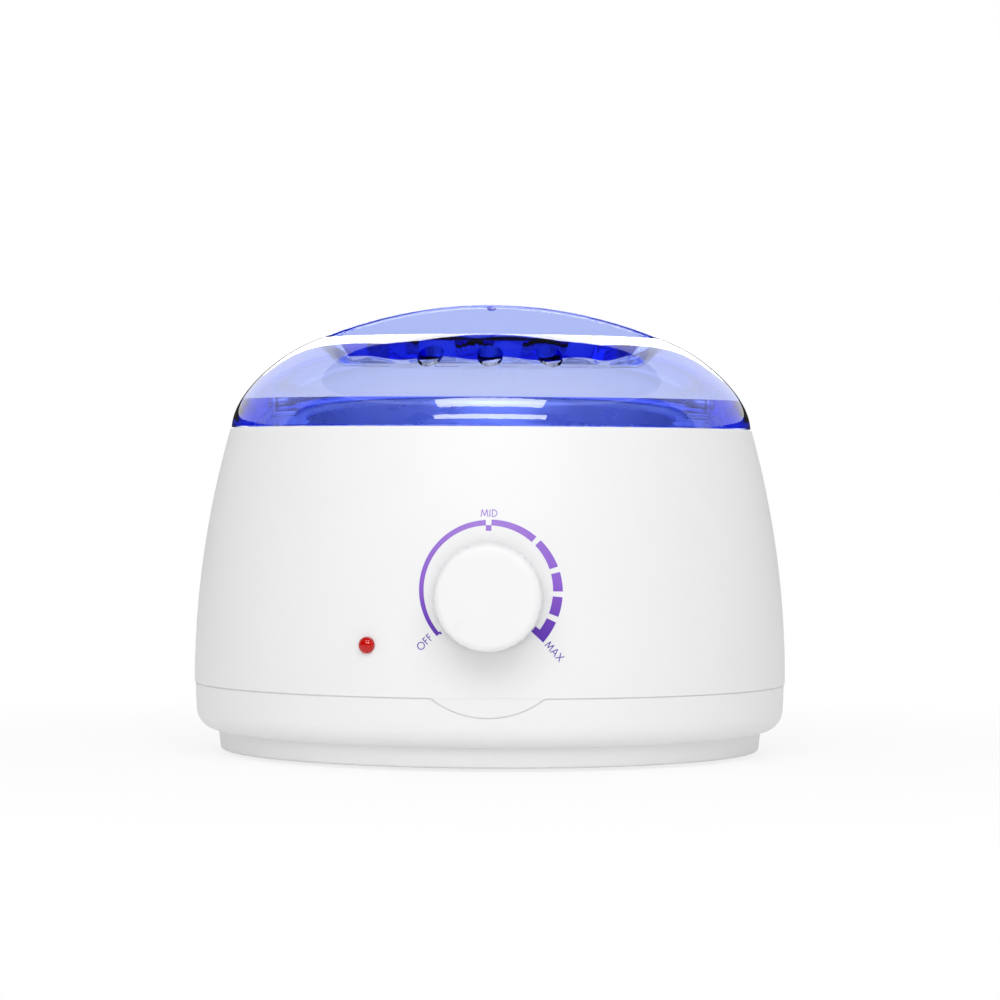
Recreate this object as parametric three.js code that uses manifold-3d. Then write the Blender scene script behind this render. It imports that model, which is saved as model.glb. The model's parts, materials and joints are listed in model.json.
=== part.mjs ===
// A wax warmer: a round white housing with a heated aluminium well, a lift-out wax pot with a bail,
// a clear tinted lid and a turning thermostat knob. Millimetres, +Z up, knob side facing -Y.
// The origin is on the vertical axis at the level that the rubber feet stand on.
import * as THREE from 'three';
import { mergeVertices } from 'three/addons/utils/BufferGeometryUtils.js';
import Module from 'manifold-3d';

const wasm = await Module();
wasm.setup();

// Overall heights, above the underside of the base
const FOOT_STAND = 1;
const SEAM_H = 20.9;
const BELLY_H = 22;
const RIM_H = 101.6;
const LID_RISE = 39.7;

// Body outline
const BODY_R = 94;
const SIDE_ARC_R = 292;
const RIM_EDGE_CHAMFER = 0.8;

// Walls
const HOUSING_WALL = 2.4;
const BASE_WALL = 2.4;
const BASE_FLOOR = 2.6;
const LID_WALL = 2.2;
const WELL_WALL = 1.6;
const POT_WALL = 1.2;

// Clearances
const SEAT_GAP = 0.3;
const SLIDE_GAP = 0.5;
const POT_GAP = 1;
const KNOB_GAP = 0.6;
const SCREW_GAP = 0.3;
const OVERRUN = 10;

// Facets
const RING_SIDES = 40;
const ROUND_SIDES = 16;
const BAR_SIDES = 10;
const BAIL_SIDES = 8;
const WIRE_SIDES = 6;
const NUT_SIDES = 6;
const SIDE_POINTS = 6;
const ARC_POINTS = 4;
const SHOULDER_POINTS = 6;
const DOME_POINTS = 5;
const BAIL_HOOP_POINTS = 16;
const BAIL_WIRE_POINTS = 34;
const SHORT_LEAD_POINTS = 14;
const MID_LEAD_POINTS = 16;
const LONG_LEAD_POINTS = 18;
const FAR_LEAD_POINTS = 22;
const MERGE_SIZE = 1e-4;

// Base housing
const PLINTH_H = 6.3;
const PLINTH_INSET = 7.7;
const PLINTH_DRAFT = 0.7;
const SHOULDER_R = 6.7;
const BASE_TOP_INSET = 0.3;
const BASE_SHOULDER_INSET = 0.7;
const SPIGOT_H = 4;
const SPIGOT_WALL = 2;
const TONGUE_DROP = 5.3;
const TONGUE_ARC_R = 27.4;
const VENT_SLOT_COUNT = 12;
const VENT_SLOT_W = 3;
const VENT_SLOT_L = 18;
const VENT_SLOT_FOOT_GAP = 22;

// Feet and base screws
const FOOT_R = 6;
const FOOT_INSET = 18.3;
const FOOT_COUNT = 4;
const FOOT_FIRST_DEG = 45;
const FOOT_RECESS = 1.5;
const FOOT_EDGE = 0.6;
const BASE_SCREW_INSET = 5.8;
const BASE_SCREW_DEG = 22;
const BASE_SCREW_R = 1.5;
const BASE_SCREW_L = 14;
const SCREW_HEAD_R = 3;
const SCREW_HEAD_H = 2.2;
const SCREW_SLOT_W = 0.9;
const SCREW_SLOT_DEPTH = 1.1;
const SCREW_SLOT_SHARE = 0.6;
const BOSS_R = 5;
const BOSS_H = 9.5;
const HEAD_WELL_DEPTH = 4;
const POST_R = 4;
const POST_TOP_H = 40;
const RIB_W = 2;

// Housing opening and heating well
const OPENING_INSET = 15.8;
const LEDGE_DROP = 4.4;
const LEDGE_T = 2.4;
const LEDGE_WELL_GAP = 2.7;
const GASKET_T = 0.8;
const WELL_FLANGE_T = 1.2;
const WELL_FLOOR_H = 34.6;
const WELL_FLANGE_W = 17;
const WELL_CORNER = 4;
const STUD_COUNT = 4;
const STUD_R = 1.5;
const STUD_L = 8;
const STUD_INSET = 5;
const NUT_R = 3.2;
const NUT_T = 2.4;
const EARTH_STUD_R = 2;
const EARTH_STUD_L = 6;
const EARTH_STUD_X = 6;
const EARTH_STUD_Y = 10;

// Wax pot and its bail
const POT_FLANGE_W = 10.8;
const POT_DRAFT = 1.4;
const POT_CORNER = 5;
const CORNER_SHARE = 0.29;
const EAR_W = 9;
const EAR_T = 1.2;
const EAR_FOOT_T = 1;
const EAR_FOOT_L = 8;
const EAR_RISE = 6.4;
const EAR_EDGE_INSET = 1.5;
const BAIL_WIRE_R = 1.5;
const BAIL_EAR_GAP = 6.5;
const BAIL_BEND_R = 4;
const BAIL_PIVOT_RISE = 3.3;
const BAIL_END_PAST = 2.2;

// Lid
const LID_EDGE_INSET = 11.3;
const LID_ARC_R = 140.5;
const LID_SHOULDER_W = 22.7;
const LID_SHOULDER_TOP_PULL = 8.9;
const LID_SHOULDER_EDGE_PULL = 11.1;
const LID_EDGE_LEAN_DEG = 3.3;
const LID_LIP_WALL = 2.2;
const LID_LIP_DEPTH = 1.7;
const RECESS_INSET = 4.5;
const RECESS_DEPTH = 19.3;
const RECESS_FILLET = 2;
const RECESS_EDGE = 1.2;
const FIN_W = 8.5;
const FIN_WALL = 2;
const VENT_R = 3.9;
const VENT_OUTSET = 7;
const VENT_STEP_DEG = 15.5;

// Knob and thermostat
const KNOB_H = 51.3;
const KNOB_R = 16.3;
const KNOB_DEPTH = 16;
const KNOB_FACE_R = 13.8;
const KNOB_SKIRT_TAPER = 0.7;
const KNOB_EDGE = 2.2;
const KNOB_EDGE_LOW_SHARE = 0.45;
const KNOB_EDGE_LOW_IN_SHARE = 0.2;
const KNOB_EDGE_HIGH_SHARE = 0.12;
const KNOB_EDGE_HIGH_OUT_SHARE = 0.35;
const KNOB_WALL = 1.8;
const KNOB_HUB_R = 6;
const KNOB_FLUTE_COUNT = 36;
const KNOB_FLUTE_DEPTH = 0.35;
const POINTER_W = 1.2;
const POINTER_L = 5;
const POINTER_DEPTH = 0.5;
const POINTER_DEG = 132;
const SHAFT_R = 3;
const SHAFT_IN_KNOB = 11;
const SHAFT_FLAT = 1;
const BUSH_R = 4;
const BUSH_WALL_GAP = 0.8;
const SHAFT_HOLE_R = 4;
const THERMOSTAT_W = 26;
const THERMOSTAT_H = 22;
const THERMOSTAT_T = 11;
const SHAFT_SOCKET = 4;
const TAB_W = 4.8;
const TAB_T = 0.8;
const TAB_L = 6;
const TAB_STEP = 7;
const BRACKET_T = 1.2;
const BRACKET_W = 58;
const BRACKET_H = 18;
const BRACKET_INSET = 11.2;
const BRACKET_SCREW_INSET = 5;
const BRACKET_SCREW_R = 1.25;
const BRACKET_SCREW_L = 5;
const BRACKET_POST_R = 3.5;
const THERMOSTAT_NUT_R = 6.5;

// Heater band, insulation, sensor and fuse
const BAND_RISE = 10;
const BAND_T = 2;
const BAND_SPLIT_W = 5;
const LUG_T = 2;
const LUG_L = 10;
const LUG_H = 16;
const LUG_HOLE_OUT = 6;
const BAND_TAB_DEG = 25;
const WRAP_T = 3.5;
const WRAP_PAST = 3;
const WRAP_OPEN_DEG = 70;
const BULB_R = 2.1;
const BULB_L = 20;
const BULB_LEDGE_GAP = 0.8;
const BULB_WRAP_GAP = 4;
const BULB_DEG = 40;
const CLIP_T = 0.7;
const CLIP_FOOT = 4;
const CLIP_W = 6;
const CAPILLARY_R = 0.8;
const FUSE_R = 2.1;
const FUSE_L = 13;
const FUSE_X = 22;

// Terminal block, leads and gland
const BLOCK_W = 34;
const BLOCK_D = 16;
const BLOCK_H = 13;
const BLOCK_INSET = 42;
const POLE_STEP = 10;
const POLE_BORE_R = 1.9;
const BLOCK_SCREW_IN = 2.6;
const BLOCK_SCREW_R = 1.2;
const BLOCK_SCREW_PEG = 1.6;
const LEAD_R = 1.1;
const LAMP_LEAD_R = 0.7;
const LEAD_STUB = 4;
const LEAD_LOW = 4.4;
const LEAD_HIGH = 8.9;
const GLAND_H = 33;
const GLAND_BORE_R = 3.9;
const GLAND_NECK_R = 5.4;
const GLAND_FLANGE_R = 7.6;
const GLAND_FLANGE_T = 2;

// Indicator lamp
const LAMP_H = 36.5;
const LAMP_DEG = 22.5;
const LAMP_R = 2.5;
const LAMP_DOME_H = 2.1;
const LAMP_DOME_LOW_SHARE = 0.94;
const LAMP_DOME_LOW_H_SHARE = 0.5;
const LAMP_DOME_HIGH_SHARE = 0.6;
const LAMP_DOME_HIGH_H_SHARE = 0.9;
const LAMP_SHANK_R = 2.15;
const LAMP_SHANK_L = 4;
const LAMP_HOLDER_R = 4.2;
const LAMP_HOLDER_L = 8;
const LAMP_BULB_R = 1.7;
const LAMP_BULB_L = 9.5;
const LAMP_LEAD_STEP = 1.2;

// Radii that several pieces share
const PLINTH_R = BODY_R - PLINTH_INSET;
const BASE_SCREW_PLACE_R = PLINTH_R - BASE_SCREW_INSET;
const FOOT_PLACE_R = PLINTH_R - FOOT_INSET;
const VENT_SLOT_OUT_R = FOOT_PLACE_R - VENT_SLOT_FOOT_GAP;
const VENT_SLOT_IN_R = VENT_SLOT_OUT_R - VENT_SLOT_L;
const SPIGOT_R = BODY_R - HOUSING_WALL - SEAT_GAP;
const OPENING_R = BODY_R - OPENING_INSET;
const WELL_R = OPENING_R - WELL_FLANGE_W;
const WELL_OUT_R = WELL_R + WELL_WALL;
const LEDGE_IN_R = WELL_OUT_R + LEDGE_WELL_GAP;
const STUD_PLACE_R = LEDGE_IN_R + STUD_INSET;
const POT_FLANGE_R = WELL_R + POT_FLANGE_W;
const EAR_OUT_R = POT_FLANGE_R - EAR_EDGE_INSET;
const BAIL_R = EAR_OUT_R - BAIL_EAR_GAP;
const BAIL_HOOP_R = BAIL_R - BAIL_BEND_R;
const LID_EDGE_R = BODY_R - LID_EDGE_INSET;
const LID_SHOULDER_IN_R = LID_EDGE_R - LID_SHOULDER_W;
const VENT_PLACE_R = LID_SHOULDER_IN_R + VENT_OUTSET;
const RECESS_R = LID_SHOULDER_IN_R - RECESS_INSET;
const BRACKET_Y = BODY_R - BRACKET_INSET;
const BRACKET_SCREW_X = BRACKET_W / 2 - BRACKET_SCREW_INSET;
const BLOCK_Y = BODY_R - BLOCK_INSET;
const BLOCK_SCREW_X = BLOCK_W / 2 - BLOCK_SCREW_IN;

// Levels above the table that several pieces share
const BASE_Z = FOOT_STAND;
const SEAM_Z = BASE_Z + SEAM_H;
const BELLY_Z = BASE_Z + BELLY_H;
const RIM_Z = BASE_Z + RIM_H;
const LID_TOP_Z = RIM_Z + LID_RISE;
const FLOOR_Z = BASE_Z + BASE_FLOOR;
const LEDGE_Z = RIM_Z - LEDGE_DROP;
const WELL_FLANGE_Z = LEDGE_Z + GASKET_T;
const POT_FLANGE_Z = WELL_FLANGE_Z + WELL_FLANGE_T + SEAT_GAP;
const POT_TOP_Z = POT_FLANGE_Z + POT_WALL;
const WELL_FLOOR_Z = BASE_Z + WELL_FLOOR_H;
const WELL_UNDER_Z = WELL_FLOOR_Z - WELL_WALL;
const HOUSING_LOW_Z = SEAM_Z + SEAT_GAP;
const LID_EDGE_Z = RIM_Z + SEAT_GAP;
const KNOB_Z = BASE_Z + KNOB_H;
const LAMP_Z = BASE_Z + LAMP_H;
const GLAND_Z = BASE_Z + GLAND_H;
const BAIL_Z = POT_TOP_Z + BAIL_PIVOT_RISE;
const SPIGOT_TOP_Z = SEAM_Z + SPIGOT_H;
const BOSS_Z = BASE_Z + BOSS_H;
const POST_LOW_Z = BOSS_Z + SEAT_GAP;
const POST_TOP_Z = BASE_Z + POST_TOP_H;
const POST_HOLE_TOP_Z = BASE_Z + HEAD_WELL_DEPTH + BASE_SCREW_L + SCREW_GAP;
const BULB_LOW_Z = LEDGE_Z - LEDGE_T - BULB_LEDGE_GAP - BULB_L;
const BAND_LOW_Z = WELL_UNDER_Z + BAND_RISE;
const BAND_HIGH_Z = BULB_LOW_Z - BULB_WRAP_GAP - WRAP_PAST;
const BAND_MID_Z = (BAND_LOW_Z + BAND_HIGH_Z) / 2;
const FUSE_Z = WELL_UNDER_Z - SEAT_GAP - FUSE_R;
const THERMOSTAT_LOW_Z = KNOB_Z - THERMOSTAT_H / 2;

// Turns about the vertical axis
const SIDE_DEG = 90;
const LAMP_TURN_DEG = -SIDE_DEG - LAMP_DEG;
const SCREW_DEGS = [BASE_SCREW_DEG, 180 - BASE_SCREW_DEG, 180 + BASE_SCREW_DEG, -BASE_SCREW_DEG];

const rad = THREE.MathUtils.degToRad;

// Radius of the body's outside at a height
function sideRadius(z) {
  return BODY_R - SIDE_ARC_R + Math.sqrt(SIDE_ARC_R ** 2 - (z - BELLY_Z) ** 2);
}

// Places that follow the body's outside, and those of the thermostat behind it
const BUSH_OUT_Y = sideRadius(KNOB_Z) - HOUSING_WALL - BUSH_WALL_GAP;
const LAMP_WALL_R = sideRadius(LAMP_Z);
const KNOB_BACK_Y = sideRadius(KNOB_Z - KNOB_R) + KNOB_GAP;
const SHAFT_LOW_Y = BRACKET_Y - BRACKET_T - SHAFT_SOCKET + SEAT_GAP;
const SHAFT_HIGH_Y = KNOB_BACK_Y + SHAFT_IN_KNOB;
const THERMOSTAT_FRONT_Y = BRACKET_Y - BRACKET_T;
const THERMOSTAT_BACK_Y = THERMOSTAT_FRONT_Y - THERMOSTAT_T;
const THERMOSTAT_MID_Y = (THERMOSTAT_FRONT_Y + THERMOSTAT_BACK_Y) / 2;
const BAND_IN_R = WELL_OUT_R + SEAT_GAP;
const BAND_OUT_R = BAND_IN_R + BAND_T;
const BAND_TAB_R = BAND_IN_R + BAND_T / 2;
const LUG_HOLE_Y = BAND_OUT_R + LUG_HOLE_OUT;
const BULB_Y = WELL_OUT_R + SEAT_GAP + BULB_R;

// How far the round wall falls back across the gland's flange
const GLAND_WALL_SAG = BODY_R - Math.sqrt(BODY_R ** 2 - GLAND_FLANGE_R ** 2);

// Height of the lid's dome over a radius, on the outer skin or on one set in below it
function domeHeight(r, inset = 0) {
  return LID_TOP_Z - LID_ARC_R + Math.sqrt((LID_ARC_R - inset) ** 2 - r ** 2);
}

// Makes a closed geometry into a solid that can be joined and cut
function solid(geometry) {
  geometry.deleteAttribute('normal');
  geometry.deleteAttribute('uv');
  const merged = mergeVertices(geometry, MERGE_SIZE);
  const corners = merged.getAttribute('position');
  const index = merged.getIndex().array;
  const faces = [];
  const [a, b, c] = [new THREE.Vector3(), new THREE.Vector3(), new THREE.Vector3()];
  let volume = 0;
  for (let i = 0; i < index.length; i += 3) {
    const [p, q, r] = [index[i], index[i + 1], index[i + 2]];
    if (p === q || q === r || r === p) continue;
    faces.push([p, q, r]);
    a.fromBufferAttribute(corners, p);
    b.fromBufferAttribute(corners, q);
    c.fromBufferAttribute(corners, r);
    volume += a.dot(b.cross(c));
  }
  const ordered = volume < 0 ? faces.map(([p, q, r]) => [p, r, q]) : faces;
  return new wasm.Manifold(new wasm.Mesh({
    numProp: 3,
    vertProperties: new Float32Array(corners.array),
    triVerts: new Uint32Array(ordered.flat()),
  }));
}

// A solid turned about Z from [radius, height] points that start and end on the axis
function turned(points, sides = RING_SIDES) {
  const profile = points.map(([r, z]) => new THREE.Vector2(r, z));
  return solid(new THREE.LatheGeometry(profile, sides).rotateX(Math.PI / 2));
}

// A ring turned about Z from [radius, height] points that close on themselves
function ring(points, sides = RING_SIDES) {
  return turned([...points, points[0]], sides);
}

// A plain ring with square corners
function hoop(inR, outR, lowZ, highZ, sides = RING_SIDES) {
  return ring([[inR, lowZ], [outR, lowZ], [outR, highZ], [inR, highZ]], sides);
}

// A round bar between two points, or a cone where the end radius differs
function bar(start, end, radius, sides = BAR_SIDES, endRadius = radius) {
  const from = new THREE.Vector3(...start);
  const along = new THREE.Vector3(...end).sub(from);
  const length = along.length();
  const shape = new THREE.CylinderGeometry(endRadius, radius, length, sides).translate(0, length / 2, 0);
  const turn = new THREE.Quaternion().setFromUnitVectors(new THREE.Vector3(0, 1, 0), along.normalize());
  return solid(shape.applyQuaternion(turn).translate(...start));
}

// A box between two corners
function block(low, high) {
  const size = low.map((v, i) => high[i] - v);
  const middle = low.map((v, i) => (v + high[i]) / 2);
  return solid(new THREE.BoxGeometry(...size).translate(...middle));
}

// An outline in X and Y raised along Z
function plate(outline, lowZ, highZ) {
  const shape = new THREE.Shape(outline.map(([x, y]) => new THREE.Vector2(x, y)));
  const raised = new THREE.ExtrudeGeometry(shape, { depth: highZ - lowZ, bevelEnabled: false });
  return solid(raised.translate(0, 0, lowZ));
}

// A round wire that follows a curve
function wire(curve, radius, steps, sides = WIRE_SIDES) {
  const section = [];
  for (let i = 0; i < sides; i += 1) {
    const turn = (i / sides) * 2 * Math.PI;
    section.push(new THREE.Vector2(radius * Math.cos(turn), radius * Math.sin(turn)));
  }
  return solid(new THREE.ExtrudeGeometry(new THREE.Shape(section), { steps, extrudePath: curve }));
}

// A smooth curve through points
function through(points) {
  return new THREE.CatmullRomCurve3(points.map((p) => new THREE.Vector3(...p)), false, 'centripetal');
}

// A point at a radius and an angle about Z, the angle counted from +X
function polar(radius, deg, z) {
  return [radius * Math.cos(rad(deg)), radius * Math.sin(rad(deg)), z];
}

// Joins several solids
function join(shapes) {
  return shapes.reduce((whole, shape) => whole.add(shape));
}

function finish(color, roughness, metalness = 0) {
  return new THREE.MeshStandardMaterial({ color, roughness, metalness });
}

const WHITE_PLASTIC = finish(0xf4f4f5, 0.3);
const BLUE_CLEAR = finish(0x4a5cff, 0.08);
BLUE_CLEAR.transparent = true;
BLUE_CLEAR.opacity = 0.5;
const RED_CLEAR = finish(0xd0141e, 0.15);
const ALUMINIUM = finish(0xc4c6c9, 0.35, 1);
const STEEL = finish(0x9b9da0, 0.35, 1);
const ZINC = finish(0xb9bcc0, 0.4, 1);
const COPPER = finish(0xb87a55, 0.35, 1);
const MICA_STEEL = finish(0x8c8a84, 0.5, 1);
const BLACK_PLASTIC = finish(0x1d1d1f, 0.5);
const DARK_BAKELITE = finish(0x3a2f28, 0.45);
const SILICONE = finish(0xb8442f, 0.7);
const RUBBER = finish(0xb9b9b8, 0.85);
const GLASS_WOOL = finish(0xe9e4d2, 0.95);
const CERAMIC = finish(0xe8e6df, 0.6);
const BROWN_WIRE = finish(0x6b4226, 0.5);
const BLUE_WIRE = finish(0x2c58b8, 0.5);
const EARTH_WIRE = finish(0x5d9a3c, 0.5);
const WHITE_WIRE = finish(0xe6e6e2, 0.5);
const NEON_GLASS = finish(0xffb27a, 0.1);

// Puts a solid into a group as a named mesh
function put(group, name, shape, material) {
  const { vertProperties, triVerts } = shape.getMesh();
  const geometry = new THREE.BufferGeometry();
  geometry.setAttribute('position', new THREE.BufferAttribute(vertProperties, 3));
  geometry.setIndex(new THREE.BufferAttribute(triVerts, 1));
  geometry.computeVertexNormals();
  const mesh = new THREE.Mesh(geometry, material);
  mesh.name = name;
  group.add(mesh);
  return mesh;
}

// A group inside another, turned about Z
function turnedGroup(parent, deg) {
  const group = new THREE.Group();
  group.rotation.z = rad(deg);
  parent.add(group);
  return group;
}

// A cross-head screw whose shank points up from its head's seat at z = 0
function screw(shankR, shankL, headR = SCREW_HEAD_R, headH = SCREW_HEAD_H) {
  const head = bar([0, 0, -headH], [0, 0, 0], headR - SCREW_SLOT_W / 2, BAR_SIDES, headR);
  const half = SCREW_SLOT_W / 2;
  const reach = headR * SCREW_SLOT_SHARE;
  const top = -headH + SCREW_SLOT_DEPTH;
  const slotX = block([-reach, -half, -headH - OVERRUN], [reach, half, top]);
  const slotY = block([-half, -reach, -headH - OVERRUN], [half, reach, top]);
  return head.add(bar([0, 0, 0], [0, 0, shankL], shankR)).subtract(slotX).subtract(slotY);
}

// A hexagon nut on Z with its underside at z = 0
function nut(acrossR, thickness, boreR) {
  return bar([0, 0, 0], [0, 0, thickness], acrossR, NUT_SIDES).subtract(
    bar([0, 0, -OVERRUN], [0, 0, OVERRUN], boreR),
  );
}

// A hat-section strap that holds a round piece against a face at y = 0, the piece lying along Z below it
function hatClip(pieceR, standOff) {
  const inHalf = pieceR + SEAT_GAP;
  const outHalf = inHalf + CLIP_T;
  const foot = outHalf + CLIP_FOOT;
  const inDeep = standOff + 2 * pieceR + SEAT_GAP;
  const outDeep = inDeep + CLIP_T;
  return plate([
    [-foot, 0], [-foot, -CLIP_T], [-outHalf, -CLIP_T], [-outHalf, -outDeep],
    [outHalf, -outDeep], [outHalf, -CLIP_T], [foot, -CLIP_T], [foot, 0],
    [inHalf, 0], [inHalf, -inDeep], [-inHalf, -inDeep], [-inHalf, 0],
  ], -CLIP_W / 2, CLIP_W / 2);
}

// Outside of the housing from its lower edge to its rim
function housingOutline(inset) {
  const points = [];
  for (let i = 0; i <= SIDE_POINTS; i += 1) {
    const z = HOUSING_LOW_Z + (i / SIDE_POINTS) * (RIM_Z - RIM_EDGE_CHAMFER - HOUSING_LOW_Z);
    points.push([sideRadius(z) - inset, z]);
  }
  return points;
}

// The round-bottomed prism of the tongue at the front of the seam, with a gap around it
function tonguePrism(gap) {
  const middleZ = SEAM_Z - TONGUE_DROP + TONGUE_ARC_R;
  const radius = TONGUE_ARC_R + gap;
  return bar([0, 0, middleZ], [0, -BODY_R - OVERRUN, middleZ], radius, RING_SIDES);
}

// Post that a base screw bites into, with the rib that ties it to the wall above the spigot
function screwPost(deg) {
  const post = bar(
    polar(BASE_SCREW_PLACE_R, deg, POST_LOW_Z),
    polar(BASE_SCREW_PLACE_R, deg, POST_TOP_Z),
    POST_R,
  );
  const tie = block(
    [BASE_SCREW_PLACE_R, -RIB_W / 2, SPIGOT_TOP_Z + SEAT_GAP],
    [BODY_R, RIB_W / 2, POST_TOP_Z],
  );
  return post.add(tie.rotate([0, 0, deg]));
}

function upperHousing() {
  const outside = turned([
    [0, HOUSING_LOW_Z],
    ...housingOutline(0),
    [sideRadius(RIM_Z) - RIM_EDGE_CHAMFER, RIM_Z],
    [0, RIM_Z],
  ]);
  const underLedgeZ = LEDGE_Z - LEDGE_T;
  const inside = turned([
    [0, HOUSING_LOW_Z - OVERRUN],
    [BODY_R - HOUSING_WALL, HOUSING_LOW_Z - OVERRUN],
    ...housingOutline(HOUSING_WALL).filter(([, z]) => z < underLedgeZ),
    [sideRadius(underLedgeZ) - HOUSING_WALL, underLedgeZ],
    [0, underLedgeZ],
  ]);
  const well = turned([
    [0, underLedgeZ - OVERRUN],
    [LEDGE_IN_R, underLedgeZ - OVERRUN],
    [LEDGE_IN_R, LEDGE_Z],
    [OPENING_R, LEDGE_Z],
    [OPENING_R, RIM_Z + OVERRUN],
    [0, RIM_Z + OVERRUN],
  ]);
  const tongueRing = ring([
    [SPIGOT_R + SEAT_GAP, SEAM_Z - TONGUE_DROP - OVERRUN],
    [BODY_R - BASE_TOP_INSET, SEAM_Z - TONGUE_DROP - OVERRUN],
    [BODY_R - BASE_TOP_INSET / 2, SEAM_Z],
    [BODY_R - BASE_TOP_INSET / 2, HOUSING_LOW_Z + SEAT_GAP],
    [SPIGOT_R + SEAT_GAP, HOUSING_LOW_Z + SEAT_GAP],
  ]);
  const low = [];
  for (const deg of SCREW_DEGS) {
    low.push(screwPost(deg));
  }
  const bracketPosts = [-1, 1].map((side) => bar(
    [side * BRACKET_SCREW_X, -BRACKET_Y - SEAT_GAP, KNOB_Z],
    [side * BRACKET_SCREW_X, -BODY_R, KNOB_Z],
    BRACKET_POST_R,
  ));
  const lowLimit = bar([0, 0, POST_LOW_Z], [0, 0, HOUSING_LOW_Z + SEAT_GAP], SPIGOT_R, RING_SIDES);
  const postLimit = outside.add(lowLimit);
  const posts = join([...low, ...bracketPosts]).intersect(postLimit);
  let housing = outside.subtract(inside).subtract(well).add(posts);
  housing = housing.add(tongueRing.intersect(tonguePrism(0)));
  const holes = [
    bar([0, -BUSH_OUT_Y, KNOB_Z], [0, -BODY_R - OVERRUN, KNOB_Z], SHAFT_HOLE_R),
    bar([0, BODY_R / 2, GLAND_Z], [0, BODY_R + OVERRUN, GLAND_Z], GLAND_NECK_R + SEAT_GAP, ROUND_SIDES),
    bar(
      polar(LAMP_WALL_R - OVERRUN, LAMP_TURN_DEG, LAMP_Z),
      polar(LAMP_WALL_R + OVERRUN, LAMP_TURN_DEG, LAMP_Z),
      LAMP_SHANK_R + SEAT_GAP,
    ),
  ];
  for (const side of [-1, 1]) {
    const x = side * BRACKET_SCREW_X;
    const bottom = BRACKET_Y - BRACKET_T + BRACKET_SCREW_L + SCREW_GAP;
    holes.push(bar([x, 0, KNOB_Z], [x, -bottom, KNOB_Z], BRACKET_SCREW_R + SCREW_GAP));
  }
  for (let i = 0; i < STUD_COUNT; i += 1) {
    const deg = SIDE_DEG / 2 + (i * 360) / STUD_COUNT;
    holes.push(bar(
      polar(STUD_PLACE_R, deg, LEDGE_Z - OVERRUN),
      polar(STUD_PLACE_R, deg, LEDGE_Z + OVERRUN),
      STUD_R + SCREW_GAP,
    ));
  }
  for (const deg of SCREW_DEGS) {
    holes.push(bar(
      polar(BASE_SCREW_PLACE_R, deg, POST_LOW_Z - OVERRUN),
      polar(BASE_SCREW_PLACE_R, deg, POST_HOLE_TOP_Z),
      BASE_SCREW_R + SCREW_GAP,
    ));
  }
  return housing.subtract(join(holes));
}

// Points of the base's rounded shoulder, set in by a wall
function shoulderArc(inset) {
  const middleR = BODY_R - BASE_SHOULDER_INSET - SHOULDER_R;
  const middleZ = BASE_Z + PLINTH_H + SHOULDER_R;
  const points = [];
  for (let i = 0; i <= ARC_POINTS; i += 1) {
    const turn = (i / ARC_POINTS) * (Math.PI / 2);
    points.push([
      middleR + (SHOULDER_R - inset) * Math.sin(turn),
      middleZ - (SHOULDER_R - inset) * Math.cos(turn),
    ]);
  }
  return points;
}

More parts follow.
